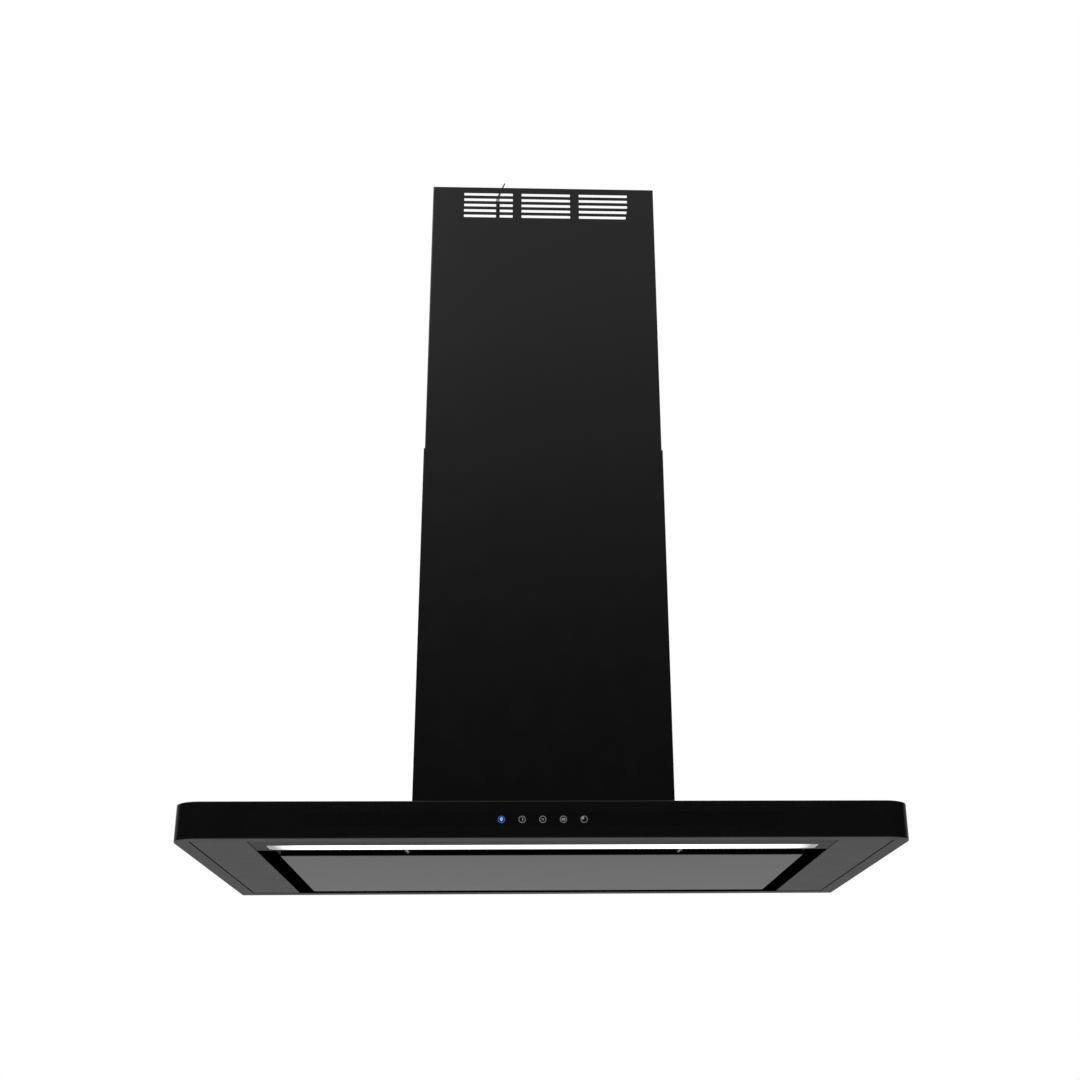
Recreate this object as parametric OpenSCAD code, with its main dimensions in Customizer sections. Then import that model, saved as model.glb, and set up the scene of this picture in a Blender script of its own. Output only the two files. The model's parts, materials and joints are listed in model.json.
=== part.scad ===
// Island range hood: a thin canopy with a perimeter suction panel, a double inlet
// blower, and two chimney covers that telescope below a ceiling frame.
// +Z is up, the front faces -Y, and the origin is the middle of the ceiling plate's
// top face, so the hood hangs below Z = 0.

/* [Canopy] */
// Width of the canopy, left to right
canopy_w = 900; // [880:10:1000]
// Depth of the canopy, front to back
canopy_d = 500; // [490:2:520]
// Height of the canopy's front face
canopy_h = 45; // [44:1:60]
// Radius of the two upright front corners
corner_r = 34; // [10:1:60]
// Width of the return flange under each side
flange_side = 20; // [14:1:24]
// Width of the return flange under the front and the back
flange_front = 21; // [14:1:24]

/* [Chimney] */
// Height from the canopy's underside to the ceiling
overall_h = 1010; // [1000:5:1060]
// Width of the lower chimney cover
cover_w = 340; // [340:1:346]
// Depth of the lower chimney cover
cover_d = 280; // [280:1:286]
// Height of the lower chimney cover
lower_cover_h = 523; // [480:1:560]
// Height of the upper chimney cover
upper_cover_h = 500; // [470:1:520]
// Gap between the two covers on each side
cover_gap = 0.5; // [0.4:0.1:1]
// Thickness of the cover sheet
cover_t = 1; // [0.8:0.1:1.2]

/* [Vents] */
// Vent groups side by side
vent_groups = 3; // [1:1:3]
// Slots in each group, one above the other
vent_rows = 5; // [2:1:6]
// Length of one slot
vent_w = 74; // [40:1:80]
// Height of one slot
vent_h = 5; // [4:0.5:7]
// Spacing of the groups
vent_pitch_x = 87.5; // [85:0.5:95]
// Spacing of the rows
vent_pitch_z = 9.7; // [9:0.1:11]
// Distance from the ceiling to the first slot
vent_drop = 10; // [8:1:20]
// How far the groups sit to the right of the middle
vent_shift = 3.5; // [0:0.5:6]

/* [Suction panel] */
// Width of the suction panel
panel_w = 674; // [640:1:690]
// Distance from the canopy's middle to the panel's front edge
panel_front = 120; // [110:1:122]
// Distance from the canopy's middle to the panel's back edge
panel_back = 208; // [200:1:208]
// Height of the panel's folded edge
panel_edge = 8; // [6:0.5:8]
// Distance between the two panel catches
catch_spacing = 348; // [200:2:400]
// Distance between the two panel hinges
hinge_spacing = 500; // [300:10:560]

/* [Light] */
// Length of the light diffuser
diffuser_w = 686; // [400:2:690]
// Depth of the light diffuser
diffuser_d = 30; // [20:1:30]

/* [Controls] */
// Length of the control strip
strip_w = 580; // [400:2:600]
// Height of the control strip
strip_h = 14.5; // [12:0.5:16]
// Touch fields on the strip
touch_count = 5; // [3:1:7]
// Spacing of the touch fields
touch_pitch = 25; // [20:1:30]

/* [Blower] */
// Radius of the impeller
impeller_r = 68; // [60:1:70]
// Length of the impeller
impeller_w = 100; // [80:2:104]
// Blades of the impeller
blade_count = 32; // [16:2:40]
// Radius of the scroll housing
scroll_r = 92; // [90:1:94]

/* [Duct] */
// Diameter of the outlet collar
duct_d = 150; // [120:5:150]
// Height of the outlet collar above the casing
collar_h = 50; // [40:1:55]

/* [Frame] */
// Length of each leg of the uprights
upright_leg = 20; // [16:1:22]
// Thickness of the uprights
upright_t = 1.5; // [1.5:0.1:2]
// Distance between the ceiling holes, left to right
ceiling_hole_x = 292; // [286:2:296]
// Distance between the ceiling holes, front to back
ceiling_hole_y = 160; // [100:5:180]
// Diameter of the ceiling holes
ceiling_hole_d = 8.5; // [6:0.5:9]

/* [Mains lead] */
// Diameter of the sheath
lead_d = 6; // [5.5:0.5:8]
// Diameter of one insulated core
core_d = 2.2; // [1.8:0.1:2.4]

/* [Hidden] */

$fn = 48;
eps = 0.5;                              // how far a cutter passes a face
fit = 0.3;                              // gap round a part that drops into a window

// Colours
paint = [0.06, 0.06, 0.06];
gloss = [0.02, 0.02, 0.02];
dark_grey = [0.28, 0.28, 0.28];
panel_grey = [0.45, 0.45, 0.45];
zinc = [0.72, 0.73, 0.74];
steel = [0.6, 0.6, 0.62];
plastic = [0.12, 0.12, 0.13];
aluminium = [0.8, 0.81, 0.82];
board_green = [0.1, 0.32, 0.16];

// Heights
sheet = 1.5;                            // thickness of the canopy sheet
z_bottom = -overall_h;
z_deck = z_bottom + canopy_h;           // top face of the canopy
z_ceil_in = z_deck - sheet;             // inside of the canopy's top sheet
z_plate = z_bottom + 0.5;               // underside of the recessed plates
z_cover_low = z_deck + lower_cover_h;

// Plan of the underside
seam_gap = 1;
half_w = canopy_w / 2;
half_d = canopy_d / 2;
seam_x = half_w - flange_side;
seam_y = half_d - flange_front;
bay_x = 361;                            // half width of the suction bay
bay_front = -161;                       // its front wall
bay_back = 226.5;                       // its back wall
panel_t = 1.2;
panel_top = z_bottom + panel_edge;

// Controls
strip_mid_z = z_bottom + 22.75;
strip_t = 3;
housing_y = [-half_d + sheet, -half_d + sheet + 17];
housing_half_h = 11.5;
housing_end = 6;                        // how far it passes each end of the strip
touch_post_r = 4;                       // sprung contact behind a touch field
touch_post_l = 6;
touch_board_x = 150;
touch_board_half_h = 5.7;
board_t = 1.6;

// Light
bar_front = -seam_y + seam_gap;
bar_fold_h = 8;
diffuser_y = [-196, -196 + diffuser_d];
diffuser_h = 3.5;
channel_h = 10;
channel_wall = 1.2;
led_board_half = 9;

// Panel hinge and catches
hinge_y = panel_back + 6;
hinge_z = z_bottom + 9;
barrel_r = 4;
barrel_l = 28;
pin_r = 2;
pin_fit = 0.05;
ear_t = 2;
ear_gap = 0.3;
catch_z = z_bottom + 4.5;
catch_tip_y = -147;
catch_tip_r = 3;
catch_clear = 0.4;
prong_t = 1.2;

// Filters
seat_z = z_bottom + 28;                 // face that the filters press up against
filter_t = 9;
filter_rim = 14;
filter_x = [14, 355];
filter_y = [-150, 218];
frame_wall = 1.2;
latch_x = (filter_x[0] + filter_x[1]) / 2;
latch_slot_z = [seat_z - filter_t + 0.2, seat_z - 4];
lug_x = 110;                            // rear lugs, from the latch's centre line
pocket_x = 32;
pocket_y = [-142, -106];
pocket_z = seat_z - 3.5;

// Frame
casing_x = 160;
casing_y = 130;
casing_t = 1.2;
casing_top = z_deck + 263;
nest_gap = 0.3;                         // between the nested uprights
upper_x = casing_x - nest_gap;          // outer faces of the upper uprights
upper_y = casing_y - nest_gap;
upper_foot = -490;
lower_head = -300;
clamp_z = [-330, -430];
clamp_r = 2.5;
slot_top = -124;
slot_foot = -476;
plate_t = 2.5;
plate_flange = 40;
cover_screw_z = -18;
low_screw_z = z_deck + 12;
frame_bolt_y = 120;
frame_bolt_z = -22;
brace_z = [-270, -250];
brace_y = 120.5;
casing_lip = 12;                        // width of the casing's bottom lip

// Blower
axis_y = 27;
axis_z = z_deck + 117;
scroll_t = 2;
scroll_half = 60;
throat_y = 65;
inlet_r = 56;
shaft_r = 4;
motor_x = [72, 132];
motor_r = 42;
bearing_r = 11;
bearing_w = 7;

// Outlet
collar_t = 1.5;
collar_r = duct_d / 2;
collar_in = collar_r - collar_t;
flap_z = casing_top + 30;
flap_t = 0.8;
flap_r = collar_in - 1.5;

// Control box on top of the casing
box_x = [-152, -92];
box_y = 70;
box_t = 2;
box_h = 34;

// Route of the mains lead, from the gland up to the stripped end
lead_route = [
    [-105, -78, -685], [-105, -92, -683], [-103, -104, -670], [-98, -110, -650],
    [-85, -112, -610], [-75, -112, -570], [-70, -112, -520], [-70, -112, -400],
    [-70, -112, -280], [-70, -112, -160], [-70, -112, -60], [-70, -112, -8]
];
core_routes = [
    [[-71.5, -112, -8], [-71.4, -112, -2], [-67.5, -112.5, 8], [-62.5, -113, 18]],
    [[-68.8, -113.3, -8], [-68.4, -114.2, 0], [-65, -117, 10], [-59.5, -119, 22]],
    [[-69, -110.5, -8], [-68.8, -110, -2], [-68, -109, 6], [-66, -108, 14]]
];
lead_steps = 3;                         // rings between two points of a route

// Small helpers
function mid(range) = (range[0] + range[1]) / 2;
function mirror_range(range, side) = side > 0 ? range : [-range[1], -range[0]];

// A box from its limits along each axis
module block(x, y, z) {
    translate([x[0], y[0], z[0]])
        cube([x[1] - x[0], y[1] - y[0], z[1] - z[0]]);
}

// A box centred on the origin in plan
module centred(w, d, z) {
    block([-w / 2, w / 2], [-d / 2, d / 2], z);
}

// A round bar along X, then one along Y
module bar_x(r, x, y, z) {
    translate([x[0], y, z]) rotate([0, 90, 0]) cylinder(r = r, h = x[1] - x[0]);
}

module bar_y(r, x, y, z) {
    translate([x, y[0], z]) rotate([-90, 0, 0]) cylinder(r = r, h = y[1] - y[0]);
}

// An open square tube of sheet, from its outer size
module tube_wall(w, d, t, z) {
    difference() {
        centred(w, d, z);
        centred(w - 2 * t, d - 2 * t, [z[0] - eps, z[1] + eps]);
    }
}

// Plan of the canopy: round corners at the front, square ones at the back
module canopy_plan(inset) {
    w = half_w - inset;
    front = -half_d + inset;
    r = corner_r - inset;
    translate([-w, front + r]) square([2 * w, 2 * half_d - 2 * inset - r]);
    translate([-w + r, front]) square([2 * (w - r), r + eps]);
    for (side = [-1, 1])
        translate([side * (w - r), front + r]) circle(r);
}

// A button head screw whose head lies beyond 'at', along +X
module side_screw(r, at, depth, head_r, head_h, y, z) {
    bar_x(r, [at - depth, at + head_h / 2], y, z);
    bar_x(head_r, [at, at + head_h], y, z);
}

// ---- Body that stays on the ceiling

// A plate with its front open, so that the lead and the light from the vents pass
module ceiling_plate() {
    half_y = 134;
    opening_x = 132;
    opening_back = 112;
    color(zinc) difference() {
        union() {
            centred(2 * (upper_x + plate_t), 2 * half_y, [-plate_t, 0]);
            for (side = [-1, 1])
                block(mirror_range([upper_x, upper_x + plate_t], side),
                    [-half_y, half_y], [-plate_flange, 0]);
            for (side = [-1, 1])
                bar_x(5, mirror_range([upper_x + plate_t - eps,
                    cover_w / 2 - cover_gap - 2 * cover_t - nest_gap], side), 0, cover_screw_z);
        }
        block([-opening_x, opening_x], [-half_y - eps, opening_back], [-plate_t - eps, eps]);
        for (x = [-1, 1], y = [-1, 1])
            translate([x * ceiling_hole_x / 2, y * ceiling_hole_y / 2, -plate_t - eps])
                cylinder(d = ceiling_hole_d, h = plate_t + 2 * eps);
        for (side = [-1, 1], y = [-1, 1])
            bar_x(2.5, mirror_range([upper_x - eps, upper_x + plate_t + eps], side),
                y * frame_bolt_y, frame_bolt_z);
        for (side = [-1, 1])
            bar_x(2, mirror_range([upper_x - eps, cover_w / 2], side), 0, cover_screw_z);
    }
}

// One angle section at a corner: sx and sy choose the corner, x and y are its outer faces
module angle_bar(sx, sy, x, y, z) {
    block(mirror_range([x - upright_leg, x], sx), mirror_range([y - upright_t, y], sy), z);
    block(mirror_range([x - upright_t, x], sx), mirror_range([y - upright_leg, y], sy), z);
}

module clamp_slot(sx, sy) {
    x = sx * (casing_x - 10);
    y = mirror_range([upper_y - upright_t - eps, upper_y + eps], sy);
    w = clamp_r + 0.4;
    block([x - w, x + w], y, [slot_foot + w, slot_top - w]);
    for (z = [slot_foot + w, slot_top - w])
        bar_y(w, x, y, z);
}

module upper_upright(sx, sy) {
    color(zinc) difference() {
        angle_bar(sx, sy, upper_x, upper_y, [upper_foot, -plate_t]);
        clamp_slot(sx, sy);
        bar_x(2.5, mirror_range([upper_x - upright_t - eps, upper_x + eps], sx),
            sy * frame_bolt_y, frame_bolt_z);
    }
}

module upper_upright_front_left() { upper_upright(-1, -1); }
module upper_upright_front_right() { upper_upright(1, -1); }
module upper_upright_rear_left() { upper_upright(-1, 1); }
module upper_upright_rear_right() { upper_upright(1, 1); }

module upper_brace() {
    inner_x = upper_x - upright_t;
    color(zinc) {
        for (side = [-1, 1])
            block(mirror_range([inner_x - upright_t, inner_x], side),
                [-upper_y + upright_t, upper_y - upright_t], brace_z);
        for (side = [-1, 1])
            block([-inner_x + upright_t, inner_x - upright_t],
                mirror_range([brace_y - upright_t, brace_y], side), brace_z);
    }
}

module frame_bolts() {
    at = upper_x + plate_t;
    color(steel)
        for (side = [0, 1], y = [-1, 1])
            mirror([side, 0, 0]) {
                side_screw(2.4, at, 9, 4.5, 2.8, y * frame_bolt_y, frame_bolt_z);
                bar_x(4.2, [upper_x - upright_t - 4, upper_x - upright_t],
                    y * frame_bolt_y, frame_bolt_z);
            }
}

module cover_screws() {
    at = cover_w / 2 - cover_gap - cover_t + nest_gap;
    color(steel)
        for (side = [0, 1])
            mirror([side, 0, 0])
                side_screw(1.95, at, 11, 4.5, 2.4, 0, cover_screw_z);
}

module lead_clip() {
    x = lead_route[7][0];
    y = lead_route[7][1];
    clip_h = 8;
    z = brace_z[0] + 6;
    color(plastic) difference() {
        union() {
            translate([x, y, z]) cylinder(r = lead_d / 2 + 2.5, h = clip_h);
            block([x - 4, x + 16], [-brace_y + upright_t, -brace_y + upright_t + 2],
                [z, z + clip_h]);
        }
        translate([x, y, z - eps]) cylinder(r = lead_d / 2 + 0.5, h = clip_h + 2 * eps);
    }
}

// ---- Upper chimney cover

module vent_slots(y) {
    for (group = [0 : vent_groups - 1], row = [0 : vent_rows - 1]) {
        x = vent_shift + (group - (vent_groups - 1) / 2) * vent_pitch_x;
        top = -vent_drop - row * vent_pitch_z;
        block([x - vent_w / 2, x + vent_w / 2], y, [top - vent_h, top]);
    }
}

module upper_chimney_cover() {
    w = cover_w - 2 * (cover_t + cover_gap);
    d = cover_d - 2 * (cover_t + cover_gap);
    notch = 2.4;
    color(paint) difference() {
        tube_wall(w, d, cover_t, [-upper_cover_h, 0]);
        for (side = [-1, 1])
            vent_slots(mirror_range([d / 2 - cover_t - eps, d / 2 + eps], side));
        for (side = [-1, 1]) {
            through = mirror_range([w / 2 - cover_t - eps, w / 2 + eps], side);
            block(through, [-notch, notch], [cover_screw_z, eps]);
            bar_x(notch, through, 0, cover_screw_z);
        }
    }
}

// ---- Canopy

module canopy_shell() {
    color(gloss) difference() {
        translate([0, 0, z_bottom]) linear_extrude(canopy_h) canopy_plan(0);
        translate([0, 0, z_bottom + sheet])
            linear_extrude(canopy_h - 2 * sheet) canopy_plan(sheet);
        centred(2 * seam_x, 2 * seam_y, [z_bottom - eps, z_bottom + sheet + eps]);
        centred(2 * (casing_x - casing_lip), 2 * (casing_y - casing_lip),
            [z_ceil_in - eps, z_deck + eps]);
        strip_window();
        casing_screw_places() cylinder(r = 2.1, h = 12, center = true);
    }
}

module strip_window() {
    block([-strip_w / 2 - fit, strip_w / 2 + fit], [-half_d - eps, -half_d + sheet + eps],
        [strip_mid_z - strip_h / 2 - fit, strip_mid_z + strip_h / 2 + fit]);
}

module casing_screw_places() {
    x = casing_x - casing_lip / 2;
    y = casing_y - casing_lip / 2;
    for (sx = [-1, 1], sy = [-1, 1]) {
        translate([sx * x, sy * y * 0.5, z_deck]) children();
        translate([sx * x * 0.5, sy * y, z_deck]) children();
    }
}

module side_plate(side) {
    color(dark_grey) {
        block(mirror_range([bay_x, seam_x - seam_gap], side),
            [-seam_y + seam_gap, seam_y - seam_gap], [z_plate, z_plate + sheet]);
        block(mirror_range([bay_x, bay_x + sheet], side),
            [-seam_y + seam_gap, seam_y - seam_gap], [z_plate, z_ceil_in]);
        block(mirror_range([seam_x - seam_gap - sheet, seam_x - seam_gap], side),
            [-seam_y + seam_gap, seam_y - seam_gap], [z_plate, z_plate + 10]);
    }
}

module side_plate_left() { side_plate(-1); }
module side_plate_right() { side_plate(1); }

module hinge_rail() {
    color(dark_grey)
        block([-bay_x, bay_x], [bay_back, bay_back + sheet], [z_plate, z_ceil_in]);
}

// ---- Controls

module control_housing() {
    color(plastic) difference() {
        block([-strip_w / 2 - housing_end, strip_w / 2 + housing_end], housing_y,
            [strip_mid_z - housing_half_h, strip_mid_z + housing_half_h]);
        block([-strip_w / 2 - fit, strip_w / 2 + fit], [housing_y[0] - eps, -half_d + strip_t],
            [strip_mid_z - strip_h / 2 - fit, strip_mid_z + strip_h / 2 + fit]);
        block([-strip_w / 2 + 4, strip_w / 2 - 4], [-half_d + strip_t - eps, housing_y[1] + eps],
            [strip_mid_z - 6, strip_mid_z + 6]);
    }
}

module control_strip() {
    color(gloss)
        block([-strip_w / 2, strip_w / 2], [-half_d, -half_d + strip_t],
            [strip_mid_z - strip_h / 2, strip_mid_z + strip_h / 2]);
}

// Circuit board with one sprung touch contact behind each field
module control_board() {
    board_y = [-half_d + strip_t + touch_post_l, -half_d + strip_t + touch_post_l + board_t];
    color(board_green) {
        block([-touch_board_x, touch_board_x], board_y,
            [strip_mid_z - touch_board_half_h, strip_mid_z + touch_board_half_h]);
        for (i = [0 : touch_count - 1])
            bar_y(touch_post_r, (i - (touch_count - 1) / 2) * touch_pitch,
                [-half_d + strip_t, board_y[0] + 0.2], strip_mid_z);
    }
}

// ---- Light bar

module light_bar() {
    color(dark_grey) difference() {
        union() {
            block([-bay_x + seam_gap, bay_x - seam_gap], [bar_front, bay_front],
                [z_plate, z_plate + sheet]);
            block([-bay_x + seam_gap, bay_x - seam_gap], [bar_front, bar_front + sheet],
                [z_plate, z_plate + bar_fold_h]);
            block([-bay_x, bay_x], [bay_front - sheet, bay_front], [z_plate, z_ceil_in]);
        }
        block([-diffuser_w / 2 - fit, diffuser_w / 2 + fit],
            [diffuser_y[0] - fit, diffuser_y[1] + fit], [z_plate - eps, z_plate + sheet + eps]);
    }
}

// Aluminium channel that holds and cools the light's board
module light_channel() {
    y = [diffuser_y[0] - fit - channel_wall, diffuser_y[1] + fit + channel_wall];
    z0 = z_plate + sheet;
    color(aluminium) difference() {
        block([-diffuser_w / 2 - 2, diffuser_w / 2 + 2], y, [z0, z0 + channel_h]);
        block([-diffuser_w / 2 - 3, diffuser_w / 2 + 3], [y[0] + channel_wall, y[1] - channel_wall],
            [z0 - eps, z0 + channel_h - channel_wall]);
    }
}

module light_diffuser() {
    color([0.95, 0.96, 1])
        block([-diffuser_w / 2, diffuser_w / 2], diffuser_y, [z_plate, z_plate + diffuser_h]);
}

module led_board() {
    top = z_plate + sheet + channel_h - channel_wall;
    y = mid(diffuser_y);
    color([0.9, 0.9, 0.86])
        block([-diffuser_w / 2 + 2, diffuser_w / 2 - 2],
            [y - led_board_half, y + led_board_half], [top - board_t, top]);
}

module led_driver() {
    z = z_plate + sheet;
    color([0.9, 0.9, 0.9]) {
        block([-422, -376], [-70, 70], [z, z + 22]);
        block([-415, -383], [-80, 80], [z, z + 3]);
    }
}

// ---- Grease filters

module filter_frame() {
    z = [z_bottom + 16, seat_z + 6];
    mid_y = (bay_front + bay_back) / 2;
    bay_d = bay_back - bay_front;
    ledge = 12;
    color(zinc) difference() {
        union() {
            translate([0, mid_y, 0]) tube_wall(2 * bay_x, bay_d, frame_wall, z);
            translate([0, mid_y, 0])
                tube_wall(2 * bay_x - eps, bay_d - eps, ledge, [seat_z, seat_z + frame_wall]);
            block([-filter_x[0] - ledge, filter_x[0] + ledge], [bay_front + 1, bay_back - 1],
                [seat_z, seat_z + frame_wall]);
        }
        for (side = [-1, 1]) {
            block([side * latch_x - 11, side * latch_x + 11],
                [bay_front - eps, bay_front + frame_wall + eps], latch_slot_z);
            for (lug = [-1, 1])
                block([side * latch_x + lug * lug_x - 11, side * latch_x + lug * lug_x + 11],
                    [bay_back - frame_wall - eps, bay_back + eps], latch_slot_z);
        }
    }
}

module grease_filter(side) {
    x = mirror_range(filter_x, side);
    xc = side * latch_x;
    z = [seat_z - filter_t, seat_z];
    mesh_step = 3.3;
    field_x = [x[0] + filter_rim, x[1] - filter_rim];
    field_y = [filter_y[0] + filter_rim, filter_y[1] - filter_rim];
    color(aluminium) difference() {
        union() {
            block(x, filter_y, z);
            for (lug = [-1, 1])
                block([xc + lug * lug_x - 10, xc + lug * lug_x + 10],
                    [filter_y[1] - 1, bay_back - 0.2], [z[0] + 1.5, z[0] + 4]);
        }
        difference() {
            union() {
                block(field_x, field_y, [z[0] - eps, z[0] + mesh_step]);
                block(field_x, field_y, [z[1] - mesh_step, z[1] + eps]);
            }
            block([xc - pocket_x - 4, xc + pocket_x + 4], [filter_y[0], pocket_y[1] + 4],
                [z[0] - 1, z[1] + 1]);
        }
        block([xc - pocket_x, xc + pocket_x], pocket_y, [z[0] - eps, pocket_z]);
        block([xc - 10.4, xc + 10.4], [filter_y[0] - eps, pocket_y[0] + eps],
            [z[0] + 0.4, z[0] + 3.6]);
    }
}

module grease_filter_left() { grease_filter(-1); }
module grease_filter_right() { grease_filter(1); }

// Sliding latch in the filter's pocket, with a finger hole
module filter_latch(side) {
    xc = side * latch_x;
    z0 = seat_z - filter_t;
    color(steel) difference() {
        union() {
            block([xc - 26, xc + 26], [-139, -119], [z0 + 0.5, z0 + 3]);
            block([xc - 10, xc + 10], [bay_front + 0.4, -138], [z0 + 0.8, z0 + 3.2]);
        }
        translate([xc, -128, z0]) cylinder(r = 6.5, h = 5);
    }
}

module filter_latch_left() { filter_latch(-1); }
module filter_latch_right() { filter_latch(1); }

// ---- Suction panel

module suction_panel() {
    y = [-panel_front, panel_back];
    color(panel_grey) difference() {
        block([-panel_w / 2, panel_w / 2], y, [z_bottom, panel_top]);
        block([-panel_w / 2 + panel_t, panel_w / 2 - panel_t], [y[0] + panel_t, y[1] - panel_t],
            [z_bottom + panel_t, panel_top + eps]);
    }
}

module panel_stiffeners() {
    height = 5;
    z0 = z_bottom + panel_t;
    color(zinc)
        for (y = [-60, 44, 148])
            difference() {
                block([-panel_w / 2 + 8, panel_w / 2 - 8], [y - 15, y + 15], [z0, z0 + height]);
                block([-panel_w / 2, panel_w / 2], [y - 13.8, y + 13.8],
                    [z0 - eps, z0 + height - panel_t]);
            }
}

module panel_hinge_leaves() {
    color(steel)
        for (side = [-1, 1]) {
            x = side * hinge_spacing / 2;
            span = [x - barrel_l / 2, x + barrel_l / 2];
            difference() {
                union() {
                    bar_x(barrel_r, span, hinge_y, hinge_z);
                    block(span, [panel_back, hinge_y], [hinge_z - barrel_r, hinge_z - 1.5]);
                    block(span, [panel_back, panel_back + panel_t],
                        [z_bottom + 1, hinge_z - 1.5]);
                }
                bar_x(pin_r + pin_fit, [span[0] - eps, span[1] + eps], hinge_y, hinge_z);
            }
        }
}

module panel_catch_pins() {
    color(steel)
        for (side = [-1, 1]) {
            bar_y(pin_r, side * catch_spacing / 2, [catch_tip_y, -panel_front], catch_z);
            translate([side * catch_spacing / 2, catch_tip_y, catch_z]) sphere(catch_tip_r);
        }
}

module hinge_brackets() {
    inner = barrel_l / 2 + ear_gap;
    color(steel)
        for (side = [-1, 1])
            translate([side * hinge_spacing / 2, 0, 0]) {
                for (ear = [0, 1])
                    mirror([ear, 0, 0]) difference() {
                        union() {
                            bar_x(barrel_r, [inner, inner + ear_t], hinge_y, hinge_z);
                            block([inner, inner + ear_t], [hinge_y, bay_back - sheet],
                                [hinge_z - barrel_r, hinge_z + barrel_r]);
                        }
                        bar_x(pin_r + 0.02, [inner - eps, inner + ear_t + eps], hinge_y, hinge_z);
                    }
                block([-inner - ear_t, inner + ear_t], [bay_back - sheet, bay_back],
                    [hinge_z - 5, hinge_z + 6]);
            }
}

module hinge_pins() {
    reach = barrel_l / 2 + ear_gap + ear_t + 1;
    color(zinc)
        for (side = [-1, 1]) {
            x = side * hinge_spacing / 2;
            bar_x(pin_r, [x - reach, x + reach], hinge_y, hinge_z);
        }
}

// Spring forks behind the light bar, open at the bottom
module panel_catches() {
    arm_z = z_bottom + 10;
    fork_y = [-142, -134];
    near = pin_r + catch_clear;
    color(steel)
        for (side = [-1, 1])
            translate([side * catch_spacing / 2, 0, 0]) {
                block([-8, 8], [bay_front, bay_front + prong_t], [arm_z - 3, arm_z + 5]);
                block([-8, 8], [bay_front, fork_y[1]], [arm_z, arm_z + prong_t]);
                for (prong = [-1, 1])
                    block(mirror_range([near, near + prong_t], prong), fork_y,
                        [z_bottom + 2, arm_z + prong_t]);
            }
}

// ---- Blower

// Sheet box round the blower, with a tab on each side that the lower cover is screwed to
module blower_casing() {
    w = 2 * casing_x;
    d = 2 * casing_y;
    tab_x = cover_w / 2 - cover_t;
    tab_h = 20;
    color(zinc) difference() {
        union() {
            difference() {
                centred(w, d, [z_deck, casing_top]);
                centred(w - 2 * casing_t, d - 2 * casing_t,
                    [z_deck + casing_t, casing_top - casing_t]);
            }
            for (side = [-1, 1]) {
                block(mirror_range([casing_x - casing_t, tab_x], side), [-15, 15],
                    [z_deck, z_deck + sheet]);
                block(mirror_range([tab_x - sheet, tab_x], side), [-15, 15],
                    [z_deck, z_deck + tab_h]);
            }
        }
        centred(w - 2 * casing_lip, d - 2 * casing_lip, [z_deck - eps, z_deck + 2 * casing_t]);
        translate([0, 0, casing_top - 2 * casing_t])
            cylinder(r = collar_in, h = 3 * casing_t, $fn = 96);
        for (side = [-1, 1])
            bar_x(2, mirror_range([tab_x - sheet - eps, tab_x + eps], side), 0, low_screw_z);
        casing_screw_places() cylinder(r = 2.1, h = 12, center = true);
    }
}

module casing_screws() {
    color(steel) casing_screw_places() {
        translate([0, 0, -sheet - 4]) cylinder(r = 2, h = sheet + 4 + casing_t + 1);
        translate([0, 0, casing_t]) cylinder(r = 4, h = 2.4);
        translate([0, 0, -sheet - 3.2]) cylinder(r = 3.9, h = 3.2, $fn = 6);
    }
}

// Side view of the scroll: a round body with a straight throat that goes up
module scroll_profile(inset) {
    translate([axis_y, axis_z]) circle(scroll_r - inset, $fn = 96);
    translate([-throat_y + inset, axis_z])
        square([2 * (throat_y - inset), casing_top - casing_t - axis_z]);
}

module scroll_housing() {
    color(plastic) difference() {
        translate([-scroll_half, 0, 0]) rotate([90, 0, 90])
            linear_extrude(2 * scroll_half) scroll_profile(0);
        translate([-scroll_half + scroll_t, 0, 0]) rotate([90, 0, 90])
            linear_extrude(2 * (scroll_half - scroll_t)) scroll_profile(scroll_t);
        block([-scroll_half + scroll_t, scroll_half - scroll_t],
            [-throat_y + scroll_t, throat_y - scroll_t], [casing_top - 10, casing_top + 1]);
        bar_x(inlet_r, [-scroll_half - 1, scroll_half + 1], axis_y, axis_z);
    }
}

module inlet_rings() {
    width = 6;
    color(plastic)
        for (side = [-1, 1])
            difference() {
                bar_x(inlet_r + 9, mirror_range([scroll_half, scroll_half + width], side),
                    axis_y, axis_z);
                bar_x(inlet_r, mirror_range([scroll_half - 1, scroll_half + width + 1], side),
                    axis_y, axis_z);
            }
}

module impeller() {
    rim = 10;
    half = impeller_w / 2;
    hub_r = 12;
    blade_t = 1;
    color(plastic) translate([0, axis_y, axis_z]) difference() {
        union() {
            bar_x(impeller_r, [-1.5, 1.5], 0, 0);
            bar_x(hub_r, [-12, 12], 0, 0);
            for (side = [-1, 1])
                difference() {
                    bar_x(impeller_r, mirror_range([half - 3, half], side), 0, 0);
                    bar_x(impeller_r - rim, mirror_range([half - 4, half + 1], side), 0, 0);
                }
            for (i = [0 : blade_count - 1])
                rotate([i * 360 / blade_count, 0, 0])
                    block([-half + 1, half - 1], [-blade_t / 2, blade_t / 2],
                        [impeller_r - rim + 1, impeller_r - 1]);
        }
        bar_x(shaft_r, [-13, 13], 0, 0);
    }
}

module impeller_shaft() {
    color(steel) bar_x(shaft_r, [-14, motor_x[1] + 4], axis_y, axis_z);
}

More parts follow.
